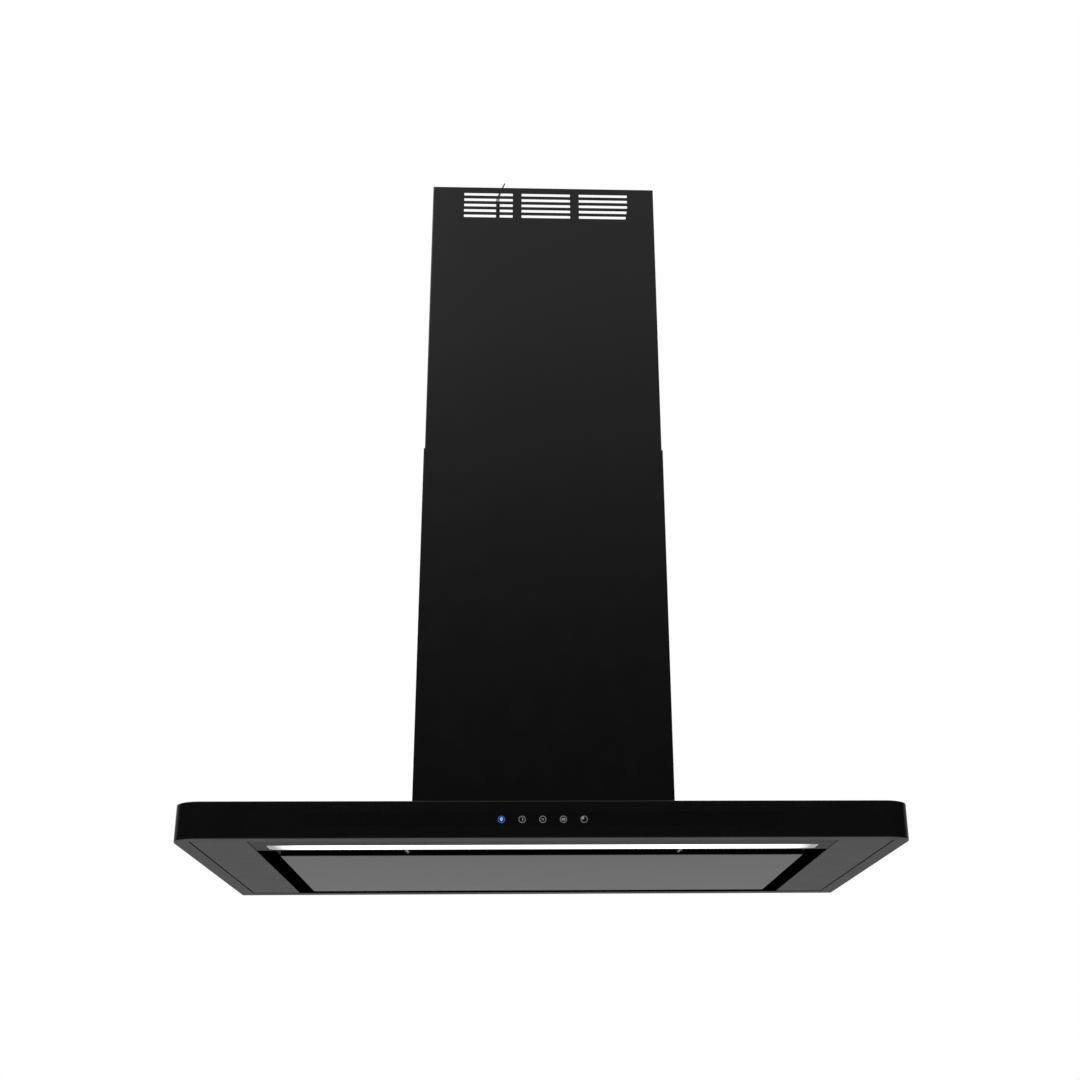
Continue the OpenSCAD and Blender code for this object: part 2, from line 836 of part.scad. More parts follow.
module motor() {
    color(dark_grey) difference() {
        bar_x(motor_r, motor_x, axis_y, axis_z);
        bar_x(shaft_r + 1, [motor_x[0] - 1, motor_x[1] + 1], axis_y, axis_z);
        bar_x(bearing_r, [motor_x[0] - 1, motor_x[0] + bearing_w], axis_y, axis_z);
        bar_x(bearing_r, [motor_x[1] - bearing_w, motor_x[1] + 1], axis_y, axis_z);
    }
}

module motor_bearings() {
    color(steel)
        for (x = [motor_x[0], motor_x[1] - bearing_w])
            difference() {
                bar_x(bearing_r, [x, x + bearing_w], axis_y, axis_z);
                bar_x(shaft_r + 0.05, [x - 1, x + bearing_w + 1], axis_y, axis_z);
            }
}

// Clamp ring round the motor with three legs to the scroll's side
module motor_bracket() {
    ring_x = [84, 100];
    foot_r = 78;
    color(zinc) difference() {
        union() {
            bar_x(motor_r + 3, ring_x, axis_y, axis_z);
            translate([0, axis_y, axis_z])
                for (leg = [0 : 2])
                    rotate([leg * 120 + 60, 0, 0]) {
                        block([ring_x[0], ring_x[0] + 3], [-6, 6], [motor_r + 1.5, foot_r + 6]);
                        block([scroll_half, ring_x[0] + 1], [-6, 6], [foot_r + 3, foot_r + 6]);
                    }
        }
        bar_x(motor_r, [ring_x[0] - 10, ring_x[1] + 10], axis_y, axis_z);
    }
}

module capacitor() {
    color([0.85, 0.85, 0.82]) translate([-casing_x + casing_t + 16, -90, axis_z - 20]) {
        cylinder(r = 16, h = 55);
        for (x = [-6, 6])
            translate([x, 0, 55]) cylinder(r = 2, h = 6);
    }
}

// ---- Outlet

module outlet_collar() {
    seat_h = 1.4;
    color(plastic) difference() {
        union() {
            centred(176, 176, [casing_top, casing_top + collar_t]);
            translate([0, 0, casing_top]) cylinder(r = collar_r, h = collar_t + collar_h, $fn = 96);
        }
        difference() {
            translate([0, 0, casing_top - eps]) cylinder(r = collar_in, h = collar_h + 5, $fn = 96);
            difference() {
                translate([0, 0, flap_z - flap_t / 2 - 0.3 - seat_h])
                    cylinder(r = collar_in + 1, h = seat_h, $fn = 96);
                translate([0, 0, flap_z - 8]) cylinder(r = collar_in - 3, h = 12, $fn = 96);
            }
        }
        bar_x(pin_r + 0.02, [-collar_r - 1, collar_r + 1], 0, flap_z);
    }
}

module damper_pin() {
    color(steel) bar_x(pin_r, [-collar_r + 0.3, collar_r - 0.3], 0, flap_z);
}

// A half disc on the shared pin; its knuckles leave room for the other flap's
module damper_flap(side, knuckles) {
    wall = 1.4;
    color(plastic) difference() {
        union() {
            intersection() {
                translate([0, 0, flap_z - flap_t / 2]) cylinder(r = flap_r, h = flap_t, $fn = 96);
                block([-flap_r, flap_r], mirror_range([pin_r + wall + 0.4, flap_r], side),
                    [flap_z - 1, flap_z + 1]);
            }
            for (span = knuckles) {
                bar_x(pin_r + wall, span, 0, flap_z);
                block(span, mirror_range([1, pin_r + wall + 1], side),
                    [flap_z - flap_t / 2, flap_z + flap_t / 2]);
            }
        }
        bar_x(pin_r + pin_fit, [-flap_r, flap_r], 0, flap_z);
    }
}

module damper_flap_front() { damper_flap(-1, [[-62, -32], [32, 62]]); }
module damper_flap_rear() { damper_flap(1, [[-30, 30]]); }

// ---- Lower frame

module lower_upright(sx, sy) {
    x = sx * (casing_x - 10);
    color(zinc) difference() {
        angle_bar(sx, sy, casing_x + upright_t, casing_y + upright_t, [z_deck, lower_head]);
        for (z = clamp_z)
            bar_y(clamp_r + 0.02, x,
                mirror_range([casing_y - eps, casing_y + upright_t + eps], sy), z);
    }
}

module lower_upright_front_left() { lower_upright(-1, -1); }
module lower_upright_front_right() { lower_upright(1, -1); }
module lower_upright_rear_left() { lower_upright(-1, 1); }
module lower_upright_rear_right() { lower_upright(1, 1); }

// Clamp bolts with their nuts, two at each corner
module clamp_bolts() {
    head_h = 3.4;
    nut = [upper_y - upright_t - nest_gap - 4, upper_y - upright_t - nest_gap];
    color(steel)
        for (sx = [-1, 1], sy = [-1, 1], z = clamp_z) {
            x = sx * (casing_x - 10);
            bar_y(clamp_r, x, mirror_range([nut[0] - 1.4, casing_y + upright_t + 1], sy), z);
            bar_y(4.8, x, mirror_range([casing_y + upright_t, casing_y + upright_t + head_h], sy), z);
            translate([x, sy * (nut[0] + 2), z]) rotate([90, 0, 0])
                cylinder(r = 4.6, h = 4, center = true, $fn = 6);
        }
}

// ---- Electrics on top of the casing

module control_box() {
    z = [casing_top, casing_top + box_h];
    color(plastic) difference() {
        block(box_x, [-box_y, box_y], z);
        block([box_x[0] + box_t, box_x[1] - box_t], [-box_y + box_t, box_y - box_t],
            [z[0] + box_t, z[1] + eps]);
        bar_y(lead_d / 2 + 0.6, lead_route[0][0], [-box_y - eps, -box_y + box_t + eps],
            lead_route[0][2]);
    }
}

module control_box_lid() {
    z0 = casing_top + box_h;
    color(plastic) {
        block(box_x, [-box_y, box_y], [z0, z0 + box_t]);
        for (x = [box_x[0] + 7, box_x[1] - 7], y = [-box_y + 7, box_y - 7])
            translate([x, y, z0 + box_t]) cylinder(r = 3, h = 1.6);
    }
}

module lead_gland() {
    x = lead_route[0][0];
    z = lead_route[0][2];
    color(plastic) difference() {
        union() {
            bar_y(9, x, [-box_y - 5, -box_y], z);
            bar_y(6.5, x, [-box_y - 8, -box_y - 5], z);
        }
        bar_y(lead_d / 2 + 0.6, x, [-box_y - 9, -box_y + 1], z);
    }
}

// Catmull-Rom point between b and c
function spline(a, b, c, d, t) =
    0.5 * (2 * b + (c - a) * t + (2 * a - 5 * b + 4 * c - d) * t * t
        + (3 * b - a - 3 * c + d) * t * t * t);
function path_points(p, steps) = [
    for (i = [0 : len(p) - 2], k = [0 : steps - 1])
        spline(p[max(i - 1, 0)], p[i], p[i + 1], p[min(i + 2, len(p) - 1)], k / steps),
    p[len(p) - 1]
];
function unit(v) = v / norm(v);
function heading(p, i) = unit(p[min(i + 1, len(p) - 1)] - p[max(i - 1, 0)]);

// A round tube swept along the points p; its rings stay square to the route
module swept_tube(p, r, sides) {
    count = len(p);
    rings = [
        for (i = [0 : count - 1])
            let (
                along = heading(p, i),
                across = unit(cross(along, [1, 0.03, 0])),
                other = cross(along, across)
            )
            for (k = [0 : sides - 1])
                p[i] + r * (cos(k * 360 / sides) * across + sin(k * 360 / sides) * other)
    ];
    walls = [
        for (i = [0 : count - 2], k = [0 : sides - 1])
            let (next = (k + 1) % sides)
            [i * sides + k, i * sides + next, (i + 1) * sides + next, (i + 1) * sides + k]
    ];
    start_cap = [for (k = [0 : sides - 1]) sides - 1 - k];
    end_cap = [for (k = [0 : sides - 1]) (count - 1) * sides + k];
    polyhedron(rings, concat([start_cap], walls, [end_cap]));
}

module mains_lead() {
    color(plastic) swept_tube(path_points(lead_route, lead_steps), lead_d / 2, 10);
}

module lead_cores() {
    tints = ["royalblue", "yellowgreen", "saddlebrown"];
    for (i = [0 : 2])
        color(tints[i]) swept_tube(path_points(core_routes[i], lead_steps), core_d / 2, 8);
}

// ---- Lower chimney cover

module lower_chimney_cover() {
    color(paint) difference() {
        tube_wall(cover_w, cover_d, cover_t, [z_deck, z_cover_low]);
        for (side = [-1, 1])
            bar_x(2, mirror_range([cover_w / 2 - cover_t - eps, cover_w / 2 + eps], side), 0,
                low_screw_z);
    }
}

module lower_cover_screws() {
    color(steel)
        for (side = [0, 1])
            mirror([side, 0, 0])
                side_screw(1.95, cover_w / 2, 5, 4, 2, 0, low_screw_z);
}

ceiling_plate();
upper_upright_front_left();
upper_upright_front_right();
upper_upright_rear_left();
upper_upright_rear_right();
upper_brace();
frame_bolts();
cover_screws();
lead_clip();
upper_chimney_cover();
canopy_shell();
side_plate_left();
side_plate_right();
hinge_rail();
control_housing();
control_strip();
control_board();
light_bar();
light_channel();
light_diffuser();
led_board();
led_driver();
filter_frame();
grease_filter_left();
grease_filter_right();
filter_latch_left();
filter_latch_right();
suction_panel();
panel_stiffeners();
panel_hinge_leaves();
panel_catch_pins();
hinge_brackets();
hinge_pins();
panel_catches();
blower_casing();
casing_screws();
scroll_housing();
inlet_rings();
impeller();
impeller_shaft();
motor();
motor_bearings();
motor_bracket();
capacitor();
outlet_collar();
damper_pin();
damper_flap_front();
damper_flap_rear();
lower_upright_front_left();
lower_upright_front_right();
lower_upright_rear_left();
lower_upright_rear_right();
clamp_bolts();
control_box();
control_box_lid();
lead_gland();
mains_lead();
lead_cores();
lower_chimney_cover();
lower_cover_screws();
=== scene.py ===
"""Island range hood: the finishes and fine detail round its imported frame.

Metres, +Z up, the controls face -Y. The origin is the middle of the ceiling plate's top face.
"""

import json
import math

import bmesh
import bpy
from mathutils import Matrix, Vector

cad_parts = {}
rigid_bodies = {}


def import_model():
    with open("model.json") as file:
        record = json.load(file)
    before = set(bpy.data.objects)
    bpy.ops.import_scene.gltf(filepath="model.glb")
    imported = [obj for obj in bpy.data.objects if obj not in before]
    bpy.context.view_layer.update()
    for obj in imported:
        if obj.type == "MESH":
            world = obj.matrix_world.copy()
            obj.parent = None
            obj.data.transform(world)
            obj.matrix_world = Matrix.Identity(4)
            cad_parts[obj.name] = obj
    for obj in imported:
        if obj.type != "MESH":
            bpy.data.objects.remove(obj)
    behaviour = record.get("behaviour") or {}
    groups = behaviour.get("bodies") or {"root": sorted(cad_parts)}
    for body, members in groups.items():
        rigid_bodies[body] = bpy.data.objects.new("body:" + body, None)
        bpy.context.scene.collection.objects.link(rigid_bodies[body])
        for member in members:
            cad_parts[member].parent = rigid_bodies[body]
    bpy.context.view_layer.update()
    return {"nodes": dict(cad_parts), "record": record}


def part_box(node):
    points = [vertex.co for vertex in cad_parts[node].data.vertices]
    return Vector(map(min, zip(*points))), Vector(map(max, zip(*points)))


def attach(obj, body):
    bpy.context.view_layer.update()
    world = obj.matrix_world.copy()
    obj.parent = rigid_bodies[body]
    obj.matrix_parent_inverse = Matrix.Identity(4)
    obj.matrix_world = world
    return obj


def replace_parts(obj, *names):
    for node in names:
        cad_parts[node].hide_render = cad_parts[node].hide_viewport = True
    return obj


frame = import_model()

MM = 0.001
WELD = 0.002 * MM
MARK_THICK = 0.03 * MM
QUARTER_X = Matrix.Rotation(math.pi / 2, 4, "X")
QUARTER_Y = Matrix.Rotation(math.pi / 2, 4, "Y")
QUARTER_Z = Matrix.Rotation(math.pi / 2, 4, "Z")
BODY_OF = {
    node: body
    for body, nodes in frame["record"]["behaviour"]["bodies"].items()
    for node in nodes
}

# ---- camera, light and floor


def set_camera():
    """The viewpoint: low, in front and a little left, looking up at the hood."""
    place = (-0.0337, -1.9769, -1.3046)
    yaw, pitch, roll = 0.04541, 0.37498, -0.01066
    ahead = Vector((math.sin(yaw) * math.cos(pitch), math.cos(yaw) * math.cos(pitch), math.sin(pitch)))
    level = Vector((math.cos(yaw), -math.sin(yaw), 0))
    upward = level.cross(ahead)
    right = math.cos(roll) * level + math.sin(roll) * upward
    top = -math.sin(roll) * level + math.cos(roll) * upward
    data = bpy.data.cameras.new("camera")
    data.lens = 47.468
    data.shift_x = -0.0367
    data.sensor_width = 36
    data.clip_start = 0.02
    camera = bpy.data.objects.new("camera", data)
    camera.matrix_world = Matrix.Translation(place) @ Matrix((right, top, -ahead)).transposed().to_4x4()
    bpy.context.scene.collection.objects.link(camera)
    bpy.context.scene.camera = camera


# Grey of the studio by height, from 0 straight down over 0.5 level to 1 straight up.
STUDIO_AHEAD = [
    (0.0, 0.3), (0.49, 0.3), (0.5, 0.002), (0.575, 0.004), (0.625, 0.02), (0.668, 0.09),
    (0.7, 0.22), (0.735, 0.41), (0.77, 0.54), (0.85, 0.6), (1.0, 0.55),
]
STUDIO_BEHIND = [(0.0, 0.3), (0.49, 0.3), (0.5, 0.26), (0.6, 0.3), (0.8, 0.5), (1.0, 0.55)]
STUDIO_TURN = (0.3, 0.95)


def set_world():
    """White behind the hood, and a soft studio for its reflections.

    The studio is dark low down in front of the hood and lighter behind it.
    """
    world = bpy.data.worlds.new("studio")
    bpy.context.scene.world = world
    world.use_nodes = True
    nodes, links = world.node_tree.nodes, world.node_tree.links
    nodes.clear()
    direction = nodes.new("ShaderNodeTexCoord")
    split = nodes.new("ShaderNodeSeparateXYZ")
    links.new(direction.outputs["Generated"], split.inputs[0])
    height = world_range(nodes, links, split.outputs["Z"], -1, 1)
    turn = world_range(nodes, links, split.outputs["Y"], *STUDIO_TURN)
    ahead = world_ramp(nodes, links, height, STUDIO_AHEAD)
    behind = world_ramp(nodes, links, height, STUDIO_BEHIND)
    blend = nodes.new("ShaderNodeMixRGB")
    studio = nodes.new("ShaderNodeBackground")
    white = nodes.new("ShaderNodeBackground")
    white.inputs["Color"].default_value = (1, 1, 1, 1)
    seen = nodes.new("ShaderNodeLightPath")
    mix = nodes.new("ShaderNodeMixShader")
    out = nodes.new("ShaderNodeOutputWorld")
    links.new(turn, blend.inputs["Fac"])
    links.new(ahead, blend.inputs["Color1"])
    links.new(behind, blend.inputs["Color2"])
    links.new(blend.outputs["Color"], studio.inputs["Color"])
    links.new(seen.outputs["Is Camera Ray"], mix.inputs["Fac"])
    links.new(studio.outputs[0], mix.inputs[1])
    links.new(white.outputs[0], mix.inputs[2])
    links.new(mix.outputs[0], out.inputs["Surface"])


def world_range(nodes, links, value, low, high):
    node = nodes.new("ShaderNodeMapRange")
    node.inputs["From Min"].default_value = low
    node.inputs["From Max"].default_value = high
    links.new(value, node.inputs["Value"])
    return node.outputs["Result"]


def world_ramp(nodes, links, value, stops):
    node = nodes.new("ShaderNodeValToRGB")
    for i, (place, grey) in enumerate(stops):
        stop = node.color_ramp.elements[i] if i < 2 else node.color_ramp.elements.new(place)
        stop.position = place
        stop.color = (grey, grey, grey, 1)
    links.new(value, node.inputs["Fac"])
    return node.outputs["Color"]


def soft_light(name, place, target, size, power, tint):
    data = bpy.data.lights.new(name, "AREA")
    data.shape = "RECTANGLE"
    data.size, data.size_y = size
    data.energy = power
    data.color = tint
    lamp = bpy.data.objects.new(name, data)
    lamp.location = place
    lamp.rotation_euler = (Vector(target) - Vector(place)).to_track_quat("-Z", "Y").to_euler()
    bpy.context.scene.collection.objects.link(lamp)


def set_floor():
    """A wide pale floor well below the hood."""
    level, reach = -2.62, 60.0
    mesh = bpy.data.meshes.new("floor")
    corners = [(-reach, -reach, level), (reach, -reach, level), (reach, reach, level), (-reach, reach, level)]
    mesh.from_pydata(corners, [], [(0, 1, 2, 3)])
    floor = bpy.data.objects.new("floor", mesh)
    bpy.context.scene.collection.objects.link(floor)
    pale = bpy.data.materials.new("pale_floor")
    pale.use_nodes = True
    shader = pale.node_tree.nodes["Principled BSDF"]
    shader.inputs["Base Color"].default_value = (0.74, 0.74, 0.735, 1)
    shader.inputs["Roughness"].default_value = 0.8
    mesh.materials.append(pale)


# ---- finishes


class Finish:
    """One material: a Principled shader with procedural detail on Object coordinates."""

    def __init__(self, name, colour, roughness, metallic=0.0, **sockets):
        self.material = bpy.data.materials.new(name)
        self.material.use_nodes = True
        self.nodes = self.material.node_tree.nodes
        self.links = self.material.node_tree.links
        self.shader = self.nodes["Principled BSDF"]
        self.coords = self.nodes.new("ShaderNodeTexCoord").outputs["Object"]
        self.put("Base Color", (*colour, 1))
        self.put("Roughness", roughness)
        self.put("Metallic", metallic)
        for socket, value in sockets.items():
            self.put(socket.replace("_", " "), value)

    def put(self, socket, value):
        self.shader.inputs[socket].default_value = value

    def stretched(self, scale):
        node = self.nodes.new("ShaderNodeMapping")
        node.inputs["Scale"].default_value = scale
        self.links.new(self.coords, node.inputs["Vector"])
        return node.outputs["Vector"]

    def noise(self, size, detail, vector=None, roughness=0.5):
        """Noise with features of about size metres."""
        node = self.nodes.new("ShaderNodeTexNoise")
        node.inputs["Scale"].default_value = 1 / size
        node.inputs["Detail"].default_value = detail
        node.inputs["Roughness"].default_value = roughness
        self.links.new(vector or self.coords, node.inputs["Vector"])
        return node.outputs["Fac"]

    def cells(self, size):
        node = self.nodes.new("ShaderNodeTexVoronoi")
        node.inputs["Scale"].default_value = 1 / size
        self.links.new(self.coords, node.inputs["Vector"])
        return node.outputs["Color"]

    def spread(self, value, low, high, start=0.3, end=0.7):
        node = self.nodes.new("ShaderNodeMapRange")
        for socket, number in zip(("From Min", "From Max", "To Min", "To Max"), (start, end, low, high)):
            node.inputs[socket].default_value = number
        self.links.new(value, node.inputs["Value"])
        return node.outputs["Result"]

    def colour_between(self, value, low, high, start=0.3, end=0.7):
        node = self.nodes.new("ShaderNodeValToRGB")
        node.color_ramp.elements[0].position = start
        node.color_ramp.elements[0].color = (*low, 1)
        node.color_ramp.elements[1].position = end
        node.color_ramp.elements[1].color = (*high, 1)
        self.links.new(value, node.inputs["Fac"])
        self.links.new(node.outputs["Color"], self.shader.inputs["Base Color"])

    def rough(self, value, low, high):
        self.links.new(self.spread(value, low, high), self.shader.inputs["Roughness"])

    def bump(self, value, depth, strength):
        """Bump with relief of about depth metres."""
        node = self.nodes.new("ShaderNodeBump")
        node.inputs["Strength"].default_value = strength
        node.inputs["Distance"].default_value = depth
        self.links.new(value, node.inputs["Height"])
        self.links.new(node.outputs["Normal"], self.shader.inputs["Normal"])


def powder_coat(name, colour, roughness, grain=0.0009, shine=0.5):
    """Baked powder paint: a fine orange peel and slightly uneven gloss."""
    f = Finish(name, colour, roughness, Specular_IOR_Level=shine)
    light = tuple(c * 1.35 for c in colour)
    f.colour_between(f.noise(0.16, 3), colour, light)
    f.rough(f.noise(0.03, 4), roughness - 0.012, roughness + 0.016)
    f.bump(f.noise(grain, 2), 0.00004, 0.35)
    return f.material


def gloss_coat(name, colour, roughness, coat=0.5, ior=1.5):
    """Glossy lacquer or glass: long, shallow ripples under a clear coat."""
    f = Finish(name, colour, roughness, Coat_Weight=coat, Coat_Roughness=0.04, IOR=ior)
    f.rough(f.noise(0.05, 3), roughness - 0.02, roughness + 0.03)
    f.bump(f.noise(0.012, 2), 0.00002, 0.15)
    return f.material


def zinc_sheet(name):
    """Galvanised steel with its frosty spangle."""
    f = Finish(name, (0.5, 0.51, 0.52), 0.42, metallic=0.85)
    f.colour_between(f.cells(0.012), (0.4, 0.41, 0.43), (0.58, 0.59, 0.6), 0.1, 0.9)
    f.rough(f.noise(0.006, 3), 0.34, 0.5)
    f.bump(f.noise(0.002, 3), 0.00003, 0.3)
    return f.material


def bright_steel(name, colour, roughness):
    """Turned or rolled steel with fine drawing lines along X."""
    f = Finish(name, colour, roughness, metallic=1.0)
    f.rough(f.noise(0.0012, 3, f.stretched((0.05, 1, 1))), roughness - 0.07, roughness + 0.08)
    f.bump(f.noise(0.0006, 2, f.stretched((0.06, 1, 1))), 0.00001, 0.25)
    return f.material


def anodised(name, colour, roughness):
    """Anodised aluminium, dulled in soft patches."""
    f = Finish(name, colour, roughness, metallic=0.9)
    dull = tuple(c * 0.8 for c in colour)
    f.colour_between(f.noise(0.02, 3), dull, colour)
    f.rough(f.noise(0.004, 3), roughness - 0.06, roughness + 0.08)
    f.bump(f.noise(0.0008, 3), 0.00001, 0.3)
    return f.material


def moulded(name, colour, roughness, grain=0.0007):
    """Moulded plastic with a spark-eroded grain."""
    f = Finish(name, colour, roughness)
    light = tuple(min(1, c * 1.25) for c in colour)
    f.colour_between(f.noise(0.05, 3), colour, light)
    f.rough(f.noise(0.008, 3), roughness - 0.04, roughness + 0.06)
    f.bump(f.noise(grain, 3, roughness=0.6), 0.00004, 0.4)
    return f.material


def glowing(name, colour, strength, base):
    """Translucent plastic lit from behind. base is its colour by daylight."""
    f = Finish(name, base, 0.35)
    f.rough(f.noise(0.004, 2), 0.32, 0.38)
    f.put("Emission Color", (*colour, 1))
    f.put("Emission Strength", strength)
    return f


def lit_mark(name, colour, strength, base):
    return glowing(name, colour, strength, base).material


def light_opal(name):
    """Opal diffuser: evenly lit along its length, and dimmer at its two ends."""
    low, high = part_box("light_diffuser")
    half_length, fade = (high.x - low.x) / 2, 40 * MM
    middle, end = 1.9, 0.1
    f = glowing(name, (0.93, 0.96, 1.0), 1.0, (0.75, 0.77, 0.8))
    split = f.nodes.new("ShaderNodeSeparateXYZ")
    distance = f.nodes.new("ShaderNodeMath")
    distance.operation = "ABSOLUTE"
    f.links.new(f.coords, split.inputs[0])
    f.links.new(split.outputs["X"], distance.inputs[0])
    glow = f.spread(
        distance.outputs[0], middle, end, half_length - fade, half_length - 0.2 * fade
    )
    f.links.new(glow, f.shader.inputs["Emission Strength"])
    return f.material


def striped_core(name):
    """Green wire cover with a yellow stripe that winds round it."""
    f = Finish(name, (0.06, 0.35, 0.06), 0.4)
    wave = f.nodes.new("ShaderNodeTexWave")
    wave.bands_direction = "DIAGONAL"
    wave.inputs["Scale"].default_value = 130
    f.links.new(f.coords, wave.inputs["Vector"])
    f.colour_between(wave.outputs["Fac"], (0.012, 0.09, 0.02), (0.4, 0.32, 0.015), 0.45, 0.55)
    return f.material


# How each finish is made, with the colour, roughness and so on that it takes.
FINISHES = {
    "cover_paint": (powder_coat, (0.0033, 0.0028, 0.0033), 0.25),
    "fascia_gloss": (gloss_coat, (0.0086, 0.0079, 0.0088), 0.16),
    "control_gloss": (gloss_coat, (0.0078, 0.0076, 0.008), 0.1, 0.8),
    "plate_black": (powder_coat, (0.0105, 0.0098, 0.0092), 0.36),
    "flange_black": (powder_coat, (0.0105, 0.0098, 0.0095), 0.38),
    "bar_black": (powder_coat, (0.007, 0.0068, 0.0068), 0.45),
    # Painted shade: the hood's black paint made far darker and without shine, for faces inside the hood where
    # shade falls.
    "inner_black": (powder_coat, (0.0015, 0.0015, 0.0017), 0.8, 0.0009, 0.0),
    "tray_black": (powder_coat, (0.012, 0.012, 0.0125), 0.5),
    "panel_glass": (gloss_coat, (0.008, 0.008, 0.0085), 0.1, 0.0, 1.42),
    "zinc_sheet": (zinc_sheet,),
    "screw_steel": (bright_steel, (0.62, 0.62, 0.63), 0.32),
    "spring_steel": (bright_steel, (0.45, 0.45, 0.46), 0.38),
    "catch_steel": (bright_steel, (0.04, 0.04, 0.042), 0.45),
    "filter_black": (powder_coat, (0.011, 0.011, 0.012), 0.5, 0.0006),
    "channel_aluminium": (anodised, (0.72, 0.73, 0.74), 0.35),
    "black_plastic": (moulded, (0.014, 0.014, 0.015), 0.5),
    "grey_plastic": (moulded, (0.09, 0.09, 0.095), 0.5),
    "white_plastic": (moulded, (0.72, 0.72, 0.7), 0.45),
    "board_green": (moulded, (0.02, 0.11, 0.045), 0.35, 0.003),
    "board_white": (moulded, (0.8, 0.8, 0.76), 0.4, 0.003),
    "motor_paint": (moulded, (0.05, 0.05, 0.052), 0.48, 0.0015),
    "lamination": (bright_steel, (0.3, 0.29, 0.28), 0.5),
    "sheath_rubber": (moulded, (0.01, 0.01, 0.0105), 0.48, 0.0004),
    "core_blue": (moulded, (0.01, 0.07, 0.34), 0.38),
    "core_brown": (moulded, (0.11, 0.045, 0.02), 0.4),
    "core_green_yellow": (striped_core,),
    "copper": (bright_steel, (0.42, 0.2, 0.12), 0.4),
    "light_opal": (light_opal,),
    "chip_yellow": (moulded, (0.85, 0.6, 0.1), 0.35),
    "mark_grey": (lit_mark, (0.55, 0.6, 0.6), 0.26, (0.35, 0.36, 0.36)),
    "mark_pale_blue": (lit_mark, (0.35, 0.6, 1), 0.9, (0.3, 0.4, 0.6)),
    "mark_blue": (lit_mark, (0.07, 0.22, 0.95), 0.75, (0.05, 0.15, 0.6)),
}


# ---- mesh helpers


def extra_piece(name, mesh, node, *finishes):
    """A detail on a CAD node, beside the piece that stands for the node. It rides with its body."""
    mesh.name = name
    piece = bpy.data.objects.new(name, mesh)
    bpy.context.scene.collection.objects.link(piece)
    put_finishes(mesh, finishes)
    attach(piece, BODY_OF[node])
    return piece


def new_piece(name, mesh, node, *finishes):
    """The piece that stands for a CAD node."""
    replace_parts(extra_piece(name, mesh, node, *finishes), node)


def put_finishes(mesh, names):
    """Gives the mesh its finishes.

    Clearing the old ones resets each face's choice, so that is put back.
    """
    chosen = [polygon.material_index for polygon in mesh.polygons]
    mesh.materials.clear()
    for name in names:
        mesh.materials.append(FINISH[name])
    if len(names) > 1:
        mesh.polygons.foreach_set("material_index", chosen)


def mesh_of(bm, smooth=30):
    """A mesh from bm, which is freed. Edges sharper than smooth degrees stay sharp."""
    mesh = bpy.data.meshes.new("piece")
    bm.to_mesh(mesh)
    bm.free()
    smooth_by_angle(mesh, smooth)
    return mesh


def smooth_by_angle(mesh, degrees):
    mesh.shade_smooth()
    mesh.set_sharp_from_angle(angle=math.radians(degrees))


def settled(obj):
    """The object's mesh with its modifiers applied. The object is removed."""
    graph = bpy.context.evaluated_depsgraph_get()
    graph.update()
    mesh = bpy.data.meshes.new_from_object(obj.evaluated_get(graph), depsgraph=graph)
    bpy.data.objects.remove(obj)
    return mesh


def even_normals(mesh, degrees=35):
    """Keeps wide flat faces flat where a narrow round meets them."""
    smooth_by_angle(mesh, degrees)
    obj = temporary(mesh)
    normals = obj.modifiers.new("normals", "WEIGHTED_NORMAL")
    normals.keep_sharp = True
    return settled(obj)


def temporary(mesh):
    obj = bpy.data.objects.new("temporary", mesh)
    bpy.context.scene.collection.objects.link(obj)
    return obj


def cut_out(mesh, cutter_mesh):
    """The mesh with the other one cut out of it."""
    solid, cutter = temporary(mesh), temporary(cutter_mesh)
    cut = solid.modifiers.new("cut", "BOOLEAN")
    cut.object = cutter
    cut.solver = "EXACT"
    result = settled(solid)
    bpy.data.objects.remove(cutter)
    return result


def welded(node):
    """A CAD node's triangles, joined at their shared corners."""
    bm = bmesh.new()
    bm.from_mesh(frame["nodes"][node].data)
    bmesh.ops.remove_doubles(bm, verts=bm.verts, dist=WELD)
    return bm


def merged_copy(node):
    """A CAD node's mesh with its triangles merged into whole faces."""
    bm = welded(node)
    flat = math.radians(0.6)
    bmesh.ops.dissolve_limit(
        bm, angle_limit=flat, verts=bm.verts, edges=bm.edges, delimit={"NORMAL"}
    )
    return mesh_of(bm)


def eased(mesh, edge, segments=2):
    """The mesh with its sharp edges broken by a small round."""
    obj = temporary(mesh)
    bevel = obj.modifiers.new("edges", "BEVEL")
    bevel.width = edge
    bevel.segments = segments
    bevel.limit_method = "ANGLE"
    bevel.angle_limit = math.radians(32)
    bevel.use_clamp_overlap = True
    normals = obj.modifiers.new("normals", "WEIGHTED_NORMAL")
    normals.keep_sharp = True
    return settled(obj)


def dressed(node, finish, edge, segments=2):
    """A CAD node with its edges broken and its finish on."""
    new_piece(node + ".fine", eased(merged_copy(node), edge, segments), node, finish)


def frame_ring(x, y, front_r, rear_r, z, steps):
    """Points round a rectangle with round corners, anticlockwise seen from above."""
    corners = [
        (x[0] + front_r, y[0] + front_r, front_r, 180),
        (x[1] - front_r, y[0] + front_r, front_r, 270),
        (x[1] - rear_r, y[1] - rear_r, rear_r, 0),
        (x[0] + rear_r, y[1] - rear_r, rear_r, 90),
    ]
    points = []
    for cx, cy, r, start in corners:
        for i in range(steps + 1):
            a = math.radians(start + 90 * i / steps)
            points.append((cx + r * math.cos(a), cy + r * math.sin(a), z))
    return points


